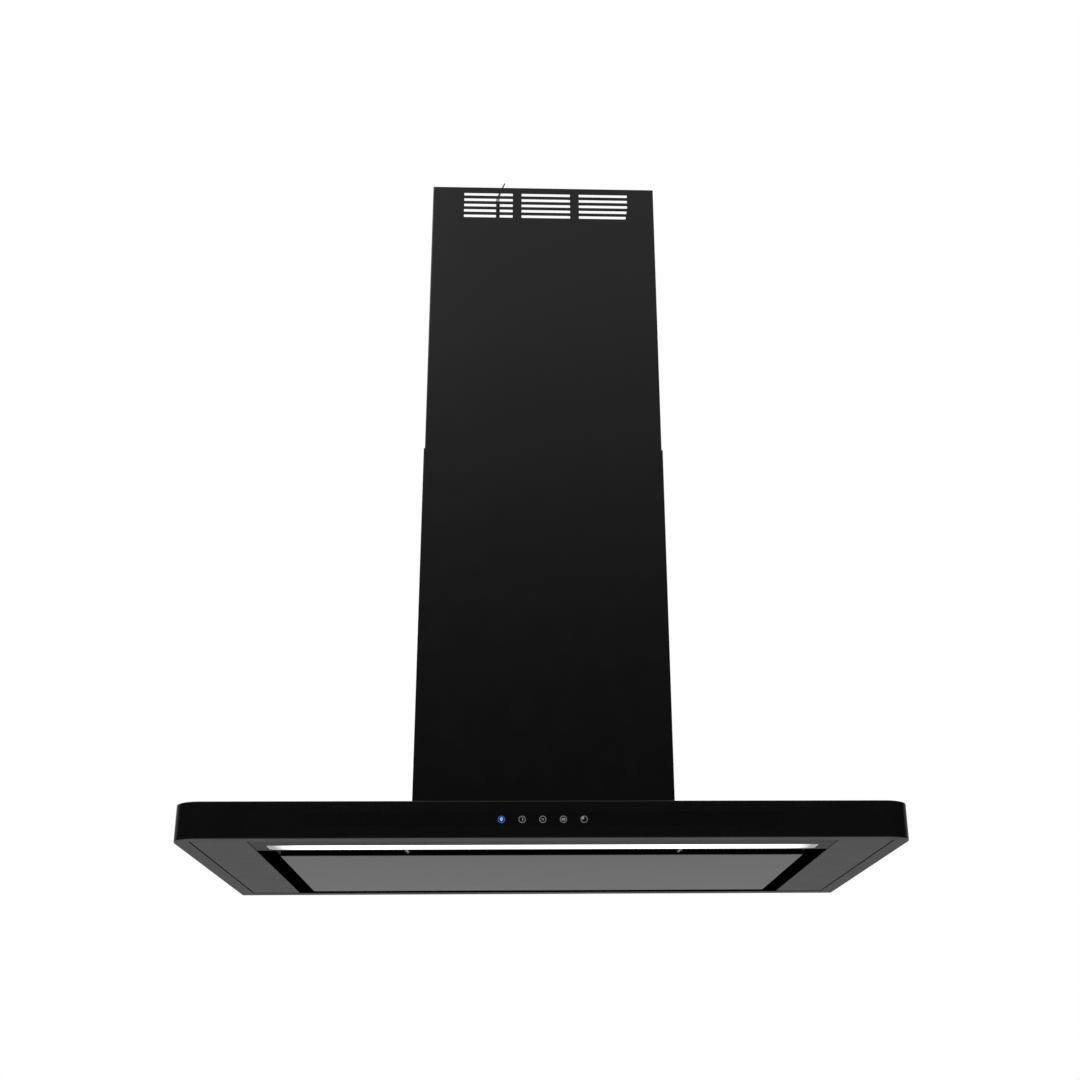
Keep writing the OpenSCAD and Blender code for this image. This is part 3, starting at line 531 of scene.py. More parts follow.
def skin_rings(rings, close=False, caps=False):
    """Skins a list of rings with equal counts into one surface.

    close joins the last ring to the first, and caps fills the two end rings.
    """
    bm = bmesh.new()
    rows = [[bm.verts.new(p) for p in ring] for ring in rings]
    count = len(rows[0])
    following = rows[1:] + rows[:1] if close else rows[1:]
    for low, high in zip(rows, following):
        for k in range(count):
            n = (k + 1) % count
            bm.faces.new((low[k], low[n], high[n], high[k]))
    if caps:
        bm.faces.new(rows[0][::-1])
        bm.faces.new(rows[-1])
    bmesh.ops.recalc_face_normals(bm, faces=bm.faces)
    return bm


def box_mesh(low, high):
    bm = bmesh.new()
    bmesh.ops.create_cube(bm, size=1)
    size = Vector(high) - Vector(low)
    middle = (Vector(high) + Vector(low)) / 2
    placed = Matrix.Translation(middle) @ Matrix.Diagonal((*size, 1))
    bmesh.ops.transform(bm, matrix=placed, verts=bm.verts)
    return mesh_of(bm)


def joined(meshes):
    """Several meshes as one, keeping each face's material index."""
    bm = bmesh.new()
    for mesh in meshes:
        bm.from_mesh(mesh)
    return mesh_of(bm)


def marked(mesh, index):
    """Sets every face of the mesh to one material slot."""
    for polygon in mesh.polygons:
        polygon.material_index = index
    return mesh


def lathe(profile, steps):
    """Turns a profile of (radius, height) points round Z. Points of radius 0 close its ends."""
    bm = bmesh.new()
    rows = []
    for r, z in profile:
        if r == 0:
            rows.append([bm.verts.new((0, 0, z))])
            continue
        angles = [2 * math.pi * k / steps for k in range(steps)]
        rows.append([bm.verts.new((r * math.cos(a), r * math.sin(a), z)) for a in angles])
    for low, high in zip(rows, rows[1:]):
        for k in range(steps):
            n = (k + 1) % steps
            if len(low) == 1:
                bm.faces.new((low[0], high[n], high[k]))
            elif len(high) == 1:
                bm.faces.new((low[k], low[n], high[0]))
            else:
                bm.faces.new((low[k], low[n], high[n], high[k]))
    bmesh.ops.recalc_face_normals(bm, faces=bm.faces)
    return bm


def turned_ring(profile, steps, smooth=30):
    """Turns a closed loop of (radius, height) points round Z."""
    bm = lathe(profile + profile[:1], steps)
    bmesh.ops.remove_doubles(bm, verts=bm.verts, dist=0.0001 * MM)
    bmesh.ops.recalc_face_normals(bm, faces=bm.faces)
    return mesh_of(bm, smooth)


# ---- geometry nodes


class NodeTree:
    """A geometry node group with named inputs, and short calls to wire it."""

    def __init__(self, name, **inputs):
        self.tree = bpy.data.node_groups.new(name, "GeometryNodeTree")
        face = self.tree.interface
        face.new_socket("Geometry", in_out="INPUT", socket_type="NodeSocketGeometry")
        self.ids = {}
        for label, (kind, default) in inputs.items():
            socket = face.new_socket(label, in_out="INPUT", socket_type="NodeSocket" + kind)
            if default is not None:
                socket.default_value = default
            self.ids[label] = socket.identifier
        face.new_socket("Geometry", in_out="OUTPUT", socket_type="NodeSocketGeometry")
        self.given = self.tree.nodes.new("NodeGroupInput").outputs
        self.result = self.tree.nodes.new("NodeGroupOutput").inputs["Geometry"]

    def add(self, kind, settings=None, **inputs):
        """A node by its short name. Inputs are sockets to link or plain values to set."""
        node = self.tree.nodes.new(kind)
        for key, value in (settings or {}).items():
            setattr(node, key, value)
        for key, value in inputs.items():
            socket = node.inputs[key.replace("_", " ")]
            if isinstance(value, bpy.types.NodeSocket):
                self.tree.links.new(value, socket)
            else:
                socket.default_value = value
        return node

    def link(self, source, target):
        self.tree.links.new(source, target)

    def copies(self, points, shape, **inputs):
        """Copies of the object in a given input, one on each point."""
        info = self.add("GeometryNodeObjectInfo", Object=self.given[shape])
        geometry = info.outputs["Geometry"]
        kind = "GeometryNodeInstanceOnPoints"
        return self.add(kind, Points=points.outputs[0], Instance=geometry, **inputs).outputs[0]

    def math(self, operation, first, second=0):
        """The outcome of a sum. The first value is a socket, the second a socket or a number."""
        node = self.add("ShaderNodeMath", {"operation": operation})
        self.link(first, node.inputs[0])
        if isinstance(second, bpy.types.NodeSocket):
            self.link(second, node.inputs[1])
        else:
            node.inputs[1].default_value = second
        return node.outputs[0]

    def span(self, count, pitch):
        """The length of a row of count things at a pitch."""
        return self.math("MULTIPLY", self.math("SUBTRACT", count, 1), pitch)

    def finish(self, geometry):
        """Ends the tree in Realize Instances and Set Material."""
        real = self.add("GeometryNodeRealizeInstances", Geometry=geometry)
        coat = self.add("GeometryNodeSetMaterial", Geometry=real.outputs[0], Material=self.given["Finish"])
        self.link(coat.outputs[0], self.result)

    def grow(self, base, **values):
        """Runs the tree on a mesh and returns the plain mesh that it makes."""
        obj = temporary(base)
        modifier = obj.modifiers.new("grow", "NODES")
        modifier.node_group = self.tree
        for label, value in values.items():
            modifier[self.ids[label]] = value
        obj.update_tag()
        return settled(obj)


def tree_on_points():
    """Sets a copy of one object on each point, turned so that its Z follows the point's facing."""
    t = NodeTree("set_on_points", Pattern=("Object", None), Finish=("Material", None))
    facing = t.add("GeometryNodeInputNamedAttribute", {"data_type": "FLOAT_VECTOR"}, Name="facing")
    turn = t.add("FunctionNodeAlignRotationToVector", {"axis": "Z"}, Vector=facing.outputs["Attribute"])
    points = t.add("GeometryNodeMeshToPoints", Mesh=t.given["Geometry"])
    t.finish(t.copies(points, "Pattern", Rotation=turn.outputs["Rotation"]))
    return t


def tree_staggered_grid():
    """Fills a rectangle with two staggered grids of one object."""
    t = NodeTree(
        "staggered_grid",
        Pattern=("Object", None),
        Width=("Float", 0.3),
        Depth=("Float", 0.3),
        Pitch_X=("Float", 0.014),
        Pitch_Y=("Float", 0.008),
        Finish=("Material", None),
    )
    both = t.add("GeometryNodeJoinGeometry")
    for fewer in (0, 1):
        size, count = {}, {}
        for axis, length in (("X", "Width"), ("Y", "Depth")):
            pitch = t.given["Pitch_" + axis]
            whole = t.math("FLOOR", t.math("DIVIDE", t.given[length], pitch))
            count["Vertices_" + axis] = t.math("SUBTRACT", whole, fewer)
            size["Size_" + axis] = t.span(count["Vertices_" + axis], pitch)
        grid = t.add("GeometryNodeMeshGrid", **size, **count)
        t.link(grid.outputs["Mesh"], both.inputs[0])
    points = t.add("GeometryNodeMeshToPoints", Mesh=both.outputs[0])
    t.finish(t.copies(points, "Pattern"))
    return t


def tree_ring():
    """Copies of one object round the X axis, evenly spaced and turned with their angle."""
    t = NodeTree(
        "ring_of_blades", Pattern=("Object", None), Count=("Int", 32), Finish=("Material", None)
    )
    line = t.add("GeometryNodeMeshLine", Count=t.given["Count"], Offset=(0, 0, 0))
    points = t.add("GeometryNodeMeshToPoints", Mesh=line.outputs[0])
    index = t.add("GeometryNodeInputIndex")
    share = t.math("DIVIDE", index.outputs[0], t.given["Count"])
    turn = t.add("ShaderNodeCombineXYZ", X=t.math("MULTIPLY", share, 2 * math.pi))
    t.finish(t.copies(points, "Pattern", Rotation=turn.outputs[0]))
    return t


def tree_slots():
    """Cuts a grid of slots through a sheet: groups side by side, rows one above the other."""
    t = NodeTree(
        "vent_slots",
        Cutter=("Object", None),
        Groups=("Int", 3),
        Rows=("Int", 5),
        Pitch_X=("Float", 0.0875),
        Pitch_Z=("Float", 0.0097),
        Middle=("Vector", None),
        Finish=("Material", None),
    )
    grid = t.add(
        "GeometryNodeMeshGrid",
        Size_X=t.span(t.given["Groups"], t.given["Pitch_X"]),
        Size_Y=t.span(t.given["Rows"], t.given["Pitch_Z"]),
        Vertices_X=t.given["Groups"],
        Vertices_Y=t.given["Rows"],
    )
    upright = t.add(
        "GeometryNodeTransform",
        Geometry=grid.outputs["Mesh"],
        Rotation=(math.pi / 2, 0, 0),
        Translation=t.given["Middle"],
    )
    copies = t.copies(upright, "Cutter")
    cut = t.add("GeometryNodeMeshBoolean", {"operation": "DIFFERENCE", "solver": "EXACT"})
    real = t.add("GeometryNodeRealizeInstances", Geometry=copies)
    t.link(t.given["Geometry"], cut.inputs["Mesh 1"])
    t.link(real.outputs[0], cut.inputs["Mesh 2"])
    t.finish(cut.outputs["Mesh"])
    return t


def points_mesh(places, facing):
    """One vertex a place, each with the direction that its copy faces."""
    mesh = bpy.data.meshes.new("places")
    mesh.from_pydata([tuple(p) for p in places], [], [])
    directions = mesh.attributes.new("facing", "FLOAT_VECTOR", "POINT")
    for item, direction in zip(directions.data, facing):
        item.vector = direction
    return mesh


def copies_on(places, facing, pattern_mesh, finish):
    """Copies of a small mesh on places, through the point tree."""
    pattern = temporary(pattern_mesh)
    places = points_mesh(places, facing)
    mesh = TREES["points"].grow(places, Pattern=pattern, Finish=FINISH[finish])
    bpy.data.objects.remove(pattern)
    return mesh


# ---- canopy


def make_canopy_shell():
    """The folded canopy: gloss sides, softly rounded edges and a flange round its open underside."""
    low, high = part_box("canopy_shell")
    casing_low, casing_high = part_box("blower_casing")
    sheet, soft, steps = 1.5 * MM, 0.9 * MM, 14
    front_corner, rear_corner = 34 * MM, 2 * MM
    flange_x, flange_front, flange_rear, flange_corner = 20 * MM, 19.8 * MM, 21 * MM, 0.3 * MM
    lip, casing_half, outlet_corner = 12 * MM, 160 * MM, 3 * MM

    def ring(inset, z):
        x = (low.x + inset, high.x - inset)
        y = (low.y + inset, high.y - inset)
        return frame_ring(x, y, front_corner - inset, rear_corner - inset, z, steps)

    def mouth(z):
        x = (low.x + flange_x, high.x - flange_x)
        y = (low.y + flange_front, high.y - flange_rear)
        return frame_ring(x, y, flange_corner, flange_corner, z, steps)

    def outlet(z):
        x = (lip - casing_half, casing_half - lip)
        y = (casing_low.y + lip, casing_high.y - lip)
        return frame_ring(x, y, outlet_corner, outlet_corner, z, steps)

    # The hold rings keep the round's shading off the flat faces.
    hold = soft + 0.6 * MM
    quarter = [math.radians(90 * i / 4) for i in range(5)]
    rings = [mouth(low.z), ring(hold, low.z)]
    for a in quarter:
        rings.append(ring(soft * (1 - math.sin(a)), low.z + soft * (1 - math.cos(a))))
    for a in quarter:
        rings.append(ring(soft * (1 - math.cos(a)), high.z - soft * (1 - math.sin(a))))
    rings += [ring(hold, high.z), outlet(high.z), outlet(high.z - sheet)]
    rings += [ring(sheet, high.z - sheet), ring(sheet, low.z + sheet)]
    rings.append(mouth(low.z + sheet))
    strip_low, strip_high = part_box("control_strip")
    fit, reach = 0.35 * MM, 2.4 * MM
    window = box_mesh(
        (strip_low.x - fit, low.y - fit, strip_low.z - fit),
        (strip_high.x + fit, low.y + reach, strip_high.z + fit),
    )
    mesh = even_normals(cut_out(mesh_of(skin_rings(rings, close=True), 40), window), 40)
    # Faces inside the canopy's sheet take painted shade, a far darker matt black than the same paint outside.
    for polygon in mesh.polygons:
        height = polygon.center.z - low.z
        under = polygon.normal.z < -0.9 and height < 0.2 * sheet
        inside = height > 1 * MM and inside_shell(polygon, low, high, sheet)
        polygon.material_index = 1 if under else 2 if inside else 0
    finishes = ("fascia_gloss", "flange_black", "inner_black")
    new_piece("canopy_shell.fine", mesh, "canopy_shell", *finishes)


def inside_shell(polygon, low, high, sheet):
    """True for faces on the inside of the canopy's sheet, away from its outlet."""
    c, n = polygon.center, polygon.normal
    if n.z < -0.9:
        return c.z > high.z - 2 * sheet
    if n.z > 0.9:
        return c.z < low.z + 2 * sheet
    outward = n.x * c.x + n.y * c.y > 0
    outlet_x, outlet_y = 200 * MM, 140 * MM
    return not outward and (abs(c.x) > outlet_x or abs(c.y) > outlet_y)


def make_control_strip():
    """The flush touch strip, with its five marks lit from behind."""
    low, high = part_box("control_strip")
    recess = 0.06 * MM
    face = low.y + recess
    strip = eased(box_mesh((low.x, face, low.z), high), 0.04 * MM)
    new_piece("control_strip.fine", strip, "control_strip", "control_gloss")
    pitch, first = 25 * MM, -53.4 * MM
    middle = (low.z + high.z) / 2 - 0.35 * MM
    ring_r, ring_line = 4.15 * MM, 0.5 * MM
    marks = {
        "lamp": mark_lamp, "night": mark_night, "low": mark_low, "high": mark_high, "timer": mark_timer,
    }
    for i, (name, mark) in enumerate(marks.items()):
        parts = [marked(ring_mesh(ring_r, ring_line), 0)] + [marked(part, 1) for part in mark()]
        place = Matrix.Translation((first + i * pitch, face, middle))
        for part in parts:
            part.transform(place @ QUARTER_X)
        lit = ("mark_blue", "mark_pale_blue") if name == "lamp" else ("mark_grey", "mark_grey")
        extra_piece("touch_mark." + name, joined(parts), "control_strip", *lit)


def flat_mesh(outline, thickness=MARK_THICK):
    """A thin plate in X and Y from one outline."""
    bm = bmesh.new()
    bottom = [bm.verts.new((x, y, 0)) for x, y in outline]
    face = bm.faces.new(bottom)
    grown = bmesh.ops.extrude_face_region(bm, geom=[face])
    moved = [v for v in grown["geom"] if isinstance(v, bmesh.types.BMVert)]
    bmesh.ops.translate(bm, vec=(0, 0, thickness), verts=moved)
    bmesh.ops.recalc_face_normals(bm, faces=bm.faces)
    return mesh_of(bm)


def arc_points(r, start, end, steps):
    """Points on an arc from start to end degrees."""
    angles = [math.radians(start + (end - start) * i / steps) for i in range(steps + 1)]
    return [(r * math.cos(a), r * math.sin(a)) for a in angles]


def ring_mesh(r, line):
    """A thin flat ring of outer radius r."""
    inner = r - line
    return turned_ring([(inner, 0), (r, 0), (r, MARK_THICK), (inner, MARK_THICK)], 64)


def mark_lamp():
    """A hollow drop, point down, for the light."""
    lift, outer_r, inner_r = 0.5 * MM, 1.75 * MM, 0.7 * MM
    outer_tip, inner_tip = (0, -2.4 * MM), (0, -0.6 * MM)
    halves = []
    for side in (-1, 1):
        outer = arc_points(outer_r, 90, -25, 12)
        inner = arc_points(inner_r, -25, 90, 12)
        outline = [(x, y + lift) for x, y in outer] + [outer_tip, inner_tip]
        outline += [(x, y + lift) for x, y in inner]
        halves.append(flat_mesh([(side * x, y) for x, y in outline]))
    return halves


def mark_night():
    """A crescent for the lowest speed."""
    r, hollow, shift = 2.2 * MM, 0.62, -0.9 * MM
    outer = arc_points(r, -75, 75, 20)
    inner = [(x * hollow, y) for x, y in reversed(outer)]
    return [flat_mesh([(x + shift, y) for x, y in outer + inner])]


def bars(count, half, width, pitch):
    """Upright bars side by side, each half high above and below the middle."""
    plates = []
    for i in range(count):
        x = (i - (count - 1) / 2) * pitch
        left, right = x - width / 2, x + width / 2
        plates.append(flat_mesh([(left, -half), (right, -half), (right, half), (left, half)]))
    return plates


def mark_low():
    """Three thin bars for the low speed."""
    return bars(count=3, half=1.3 * MM, width=0.4 * MM, pitch=1.1 * MM)


def mark_high():
    """Four thick bars for the high speed."""
    return bars(count=4, half=1.5 * MM, width=0.75 * MM, pitch=1.15 * MM)


def mark_timer():
    """A filled quarter for the timer."""
    r = 3.2 * MM
    return [flat_mesh([(0, 0)] + arc_points(r, 95, 175, 16))]


def make_underside():
    """The side plates and the light bar."""
    for node in ("side_plate_left", "side_plate_right"):
        plate_with_painted_shade_inside(node, "plate_black")
    plate_with_painted_shade_inside("light_bar", "bar_black")


def plate_with_painted_shade_inside(node, finish):
    """A folded plate: its own finish below, and painted shade on the folds inside, a far darker matt black
    than its paint.
    """
    mesh = eased(merged_copy(node), 0.45 * MM, 3)
    sheet = 1.2 * MM
    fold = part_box(node)[0].z + sheet
    for polygon in mesh.polygons:
        # Faces above the fold take the painted shade black.
        polygon.material_index = 0 if polygon.center.z < fold else 1
    new_piece(node + ".fine", mesh, node, finish, "inner_black")


def make_suction_panel():
    """The black glass panel with ground edges, in its folded tray."""
    low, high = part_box("suction_panel")
    wall, ease, corner, rim = 1.2 * MM, 0.9 * MM, 2.5 * MM, 0.3 * MM

    def ring(inset, z):
        x, y = (low.x + inset, high.x - inset), (low.y + inset, high.y - inset)
        return frame_ring(x, y, corner - inset, corner - inset, z, 6)

    rings = []
    for i in range(4):
        a = math.radians(90 * i / 3)
        rings.append(ring(ease * (1 - math.sin(a)), low.z + ease * (1 - math.cos(a))))
    rings += [ring(0, high.z - rim), ring(rim, high.z), ring(wall - rim, high.z)]
    rings += [ring(wall, high.z - rim), ring(wall, low.z + wall)]
    mesh = even_normals(mesh_of(skin_rings(rings, caps=True)))
    # The tray's walls above the glass's eased edge take painted shade, a far darker matt black, where they
    # show in the gap round the panel.
    for polygon in mesh.polygons:
        height = polygon.center.z - low.z
        inside = polygon.normal.z > 0.5 and height < 2 * wall
        polygon.material_index = 2 if inside else 0 if height < ease + 0.1 * MM else 1
    finishes = ("panel_glass", "inner_black", "tray_black")
    new_piece("suction_panel.fine", mesh, "suction_panel", *finishes)


# ---- chimney covers


def folded_tube(node):
    """An open square tube of sheet with bent corners."""
    low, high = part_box(node)
    wall, ease, bend = 1.0 * MM, 0.25 * MM, 1.6 * MM

    def ring(inset, z):
        x, y = (low.x + inset, high.x - inset), (low.y + inset, high.y - inset)
        return frame_ring(x, y, bend - inset, bend - inset, z, 5)

    rings = [ring(ease, low.z), ring(0, low.z + ease), ring(0, high.z - ease), ring(ease, high.z)]
    rings += [ring(wall - ease, high.z), ring(wall, high.z - ease)]
    rings += [ring(wall, low.z + ease), ring(wall - ease, low.z)]
    return even_normals(mesh_of(skin_rings(rings, close=True)))


def make_covers():
    """The two telescoping covers. The upper one has vent slots and hangs on its side screws."""
    lower, upper = "lower_chimney_cover", "upper_chimney_cover"
    new_piece(lower + ".fine", folded_tube(lower), lower, "cover_paint")
    low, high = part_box(upper)
    slot_w, slot_h, rows, drop = 74 * MM, 5 * MM, 5, 10 * MM
    pitch_z, shift = 9.7 * MM, 3.5 * MM
    middle_z = high.z - drop - slot_h / 2 - (rows - 1) * pitch_z / 2
    beyond = 3 * MM
    cutter = temporary(slot_cutter(slot_w, slot_h, high.y - low.y + 2 * beyond))
    mesh = TREES["slots"].grow(
        folded_tube(upper), Cutter=cutter, Groups=3, Rows=rows, Middle=(shift, 0, middle_z),
        Pitch_Z=pitch_z, Finish=FINISH["cover_paint"],
    )
    bpy.data.objects.remove(cutter)
    screw_low, screw_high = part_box("cover_screws")
    screw_z, notch_half = (screw_low.z + screw_high.z) / 2, 2.4 * MM
    notch = notch_cutter(notch_half, screw_z, high.z + beyond, high.x + beyond)
    new_piece(upper + ".fine", even_normals(cut_out(mesh, notch)), upper, "cover_paint")


def slot_cutter(width, height, depth):
    """A bar with slightly rounded corners that passes through both walls."""
    x, y, r = (-width / 2, width / 2), (-height / 2, height / 2), 0.5 * MM
    ends = [frame_ring(x, y, r, r, z, 3) for z in (-depth / 2, depth / 2)]
    mesh = mesh_of(skin_rings(ends, caps=True))
    mesh.transform(QUARTER_X)
    return mesh


def notch_cutter(half, bottom, top, reach):
    """A bar along X with a round underside, for the notches that hang on the side screws."""
    outline = arc_points(half, 180, 360, 12) + [(half, top - bottom), (-half, top - bottom)]
    mesh = flat_mesh(outline, 2 * reach)
    mesh.transform(Matrix.Translation((-reach, 0, bottom)) @ QUARTER_Z @ QUARTER_X)
    return mesh


# ---- light


def make_light():
    """The light: an opal diffuser with rounded ends, over a board with a row of chips."""
    low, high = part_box("light_diffuser")
    x, y, r = (low.x, high.x), (low.y, high.y), 4 * MM
    ends = [frame_ring(x, y, r, r, z, 6) for z in (low.z, high.z)]
    bar = eased(mesh_of(skin_rings(ends, caps=True)), 0.8 * MM, 3)
    new_piece("light_diffuser.fine", bar, "light_diffuser", "light_opal")
    low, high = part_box("led_board")
    face = low.z + 0.7 * MM
    board = eased(box_mesh((low.x, low.y, face), high), 0.1 * MM)
    new_piece("led_board.fine", board, "led_board", "board_white")
    count, margin = 68, 10 * MM
    step = (high.x - low.x - 2 * margin) / (count - 1)
    places = [(low.x + margin + i * step, (low.y + high.y) / 2, face) for i in range(count)]
    chip_x, chip_y, chip_z = 1.4 * MM, 1.75 * MM, 0.65 * MM
    chip = eased(box_mesh((-chip_x, -chip_y, 0), (chip_x, chip_y, chip_z)), 0.15 * MM, 1)
    chips = copies_on(places, [(0, 0, -1)] * count, chip, "chip_yellow")
    extra_piece("led_chips", chips, "led_board", "chip_yellow")


# ---- filters


def make_filters():
    """The two grease filters with their latches, and expanded mesh stretched inside their rims."""
    rim, wire, thick, lift = 14 * MM, 0.55 * MM, 0.5 * MM, 1.6 * MM
    pitch_x, pitch_y = 12 * MM, 7.5 * MM
    front, back = -150 * MM, 218 * MM
    for side in ("left", "right"):
        node = "grease_filter_" + side
        dressed(node, "filter_black", 0.5 * MM)
        low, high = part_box(node)
        diamond = temporary(diamond_mesh(pitch_x, pitch_y, wire, thick))
        sheet = TREES["grid"].grow(
            bpy.data.meshes.new("seed"),
            Pattern=diamond,
            Width=high.x - low.x - 2 * rim,
            Depth=back - front - 2 * rim,
            Pitch_X=pitch_x,
            Pitch_Y=pitch_y,
            Finish=FINISH["filter_black"],
        )
        bpy.data.objects.remove(diamond)
        middle = ((low.x + high.x) / 2, (front + back) / 2, low.z + lift)
        sheet.transform(Matrix.Translation(middle))
        extra_piece(node + ".mesh", without_pocket(sheet, side), node, "filter_black")
        dressed("filter_latch_" + side, "spring_steel", 0.25 * MM)


def diamond_mesh(width, depth, wire, thick):
    """One diamond of expanded metal, as a flat closed loop."""
    outer = [(width / 2, 0), (0, depth / 2), (-width / 2, 0), (0, -depth / 2)]
    share = 1 - 2.6 * wire / depth
    inner = [(x * share, y * share) for x, y in outer]
    rings = [
        [(x, y, 0) for x, y in outer], [(x, y, thick) for x, y in outer],
        [(x, y, thick) for x, y in inner], [(x, y, 0) for x, y in inner],
    ]
    return mesh_of(skin_rings(rings, close=True))


def without_pocket(mesh, side):
    """Drops the diamonds that would lie over the latch's pocket."""
    low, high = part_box("filter_latch_" + side)
    centre = (low.x + high.x) / 2
    reach, back = 37 * MM, -101 * MM
    bm = bmesh.new()
    bm.from_mesh(mesh)
    near = [v for v in bm.verts if abs(v.co.x - centre) < reach and v.co.y < back]
    bmesh.ops.delete(bm, geom=near, context="VERTS")
    loose = [v for v in bm.verts if not v.link_faces]
    bmesh.ops.delete(bm, geom=loose, context="VERTS")
    return mesh_of(bm)


# ---- blower


def make_impeller():
    """A squirrel cage: curved blades between two rims and a middle disc."""
    low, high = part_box("impeller")
    half = (high.x - low.x) / 2
    bore, hub, outer, disc, ease = 4 * MM, 12 * MM, 68 * MM, 1.5 * MM, 1 * MM
    rim, rim_width = 10 * MM, 3 * MM
    parts = []
    for x in (-half, half - rim_width):
        profile = [(outer - rim, 0), (outer, 0), (outer, rim_width), (outer - rim, rim_width)]
        ring = turned_ring(profile, 96)
        ring.transform(Matrix.Translation((x, 0, 0)) @ QUARTER_Y)
        parts.append(ring)
    left = [
        (bore, -hub), (hub - ease, -hub), (hub, -hub + ease),
        (hub, -2 * disc), (hub + 2 * disc, -disc), (outer - ease, -disc),
    ]
    core = turned_ring(left + [(r, -z) for r, z in reversed(left)], 64)
    core.transform(QUARTER_Y)
    parts.append(core)
    blade = temporary(blade_mesh(half - ease, outer - rim + 0.5 * ease, outer - 0.5 * ease))
    seed = bpy.data.meshes.new("seed")
    blades = TREES["ring"].grow(seed, Pattern=blade, Count=36, Finish=FINISH["black_plastic"])
    bpy.data.objects.remove(blade)
    mesh = joined(parts + [blades])
    mesh.transform(Matrix.Translation((0, (low.y + high.y) / 2, (low.z + high.z) / 2)))
    new_piece("impeller.fine", mesh, "impeller", "black_plastic")


def blade_mesh(half, inner, outer):
    """One blade along X, curved forward, standing on the Z axis."""
    rows, thick, bow, lean = 6, 0.9 * MM, 2.6 * MM, 1.2 * MM
    curve = []
    for i in range(rows + 1):
        share = i / rows
        y = bow * math.sin(math.pi * share * 0.85) - lean * share
        curve.append((y, inner + (outer - inner) * share))
    outline = [(y + thick / 2, z) for y, z in curve]
    outline += [(y - thick / 2, z) for y, z in reversed(curve)]
    return mesh_of(skin_rings([[(x, y, z) for y, z in outline] for x in (-half, half)], caps=True))


def make_motor():
    """The motor: a laminated stator between two painted end shields."""
    low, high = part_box("motor")
    r, bore, seat, recess = 42 * MM, 5 * MM, 11 * MM, 7 * MM
    shield_r, length = r - 0.5 * MM, high.x - low.x
    shield = length * 0.32
    left = [
        (bore, recess), (seat, recess), (seat, 0), (seat + 3 * MM, 0), (r - 6 * MM, 2.5 * MM),
        (shield_r - 1 * MM, 6 * MM), (shield_r, 9 * MM), (shield_r, shield), (r, shield),
    ]
    mesh = turned_ring(left + [(x, length - z) for x, z in reversed(left)], 72, 35)
    for polygon in mesh.polygons:
        c = polygon.center
        outside = math.hypot(c.x, c.y) > shield_r - 0.5 * MM
        polygon.material_index = 1 if outside and shield < c.z < length - shield else 0
    place = Matrix.Translation((low.x, (low.y + high.y) / 2, (low.z + high.z) / 2))
    mesh.transform(place @ QUARTER_Y)
    new_piece("motor.fine", mesh, "motor", "motor_paint", "lamination")


# ---- fasteners, frame and plain parts


def screw_head(r, height, socket):
    """A button head with a hex socket, standing on Z = 0."""
    button = [(0, 0), (1, 0), (1, 0.3), (0.93, 0.62), (0.72, 0.9), (0.55, 1), (0, 1)]
    head = mesh_of(lathe([(r * x, height * z) for x, z in button], 28), 35)
    pit = flat_mesh(arc_points(socket, 0, 300, 5), height)
    pit_floor = 0.4 * height
    pit.transform(Matrix.Translation((0, 0, pit_floor)))
    mesh = cut_out(head, pit)
    smooth_by_angle(mesh, 35)
    return mesh


def islands(node):
    """Lowest and highest corner of each separate solid of a CAD node."""
    bm = welded(node)
    seen, boxes = set(), []
    for start in bm.verts:
        if start in seen:
            continue
        stack, group = [start], []
        seen.add(start)
        while stack:
            v = stack.pop()
            group.append(v.co.copy())
            for edge in v.link_edges:
                other = edge.other_vert(v)
                if other not in seen:
                    seen.add(other)
                    stack.append(other)
        low = Vector([min(p[k] for p in group) for k in range(3)])
        high = Vector([max(p[k] for p in group) for k in range(3)])
        boxes.append((low, high))
    bm.free()
    return boxes


def socket_screws(node, axis, head_r, head_h, socket):
    """Screws with detailed heads. Each head is on the end that is farther out along the axis."""
    places, facing = [], []
    for low, high in islands(node):
        middle = (low + high) / 2
        sign = 1 if middle[axis] > 0 else -1
        tip = Vector(middle)
        tip[axis] = (high[axis] if sign > 0 else low[axis]) - sign * head_h
        places.append(tip)
        facing.append([sign if k == axis else 0 for k in range(3)])
    heads = copies_on(places, facing, screw_head(head_r, head_h, socket), "screw_steel")
    extra_piece(node + ".heads", heads, node, "screw_steel")
    new_piece(node + ".shanks", shanks_only(node, axis, head_h), node, "screw_steel")


def shanks_only(node, axis, head_h):
    """The CAD screws without their plain heads, which the detailed ones replace."""
    bm = welded(node)
    ends = [max(abs(low[axis]), abs(high[axis])) for low, high in islands(node)]
    overlap = 0.02 * MM
    for sign in (-1, 1):
        point = [0, 0, 0]
        point[axis] = sign * (max(ends) - head_h + overlap)
        normal = [0, 0, 0]
        normal[axis] = sign
        everything = [*bm.verts, *bm.edges, *bm.faces]
        cut = bmesh.ops.bisect_plane(
            bm, geom=everything, plane_co=point, plane_no=normal, clear_outer=True
        )
        rim = [e for e in cut["geom_cut"] if isinstance(e, bmesh.types.BMEdge)]
        bmesh.ops.holes_fill(bm, edges=rim)
    bmesh.ops.recalc_face_normals(bm, faces=bm.faces)
    return mesh_of(bm, smooth=35)


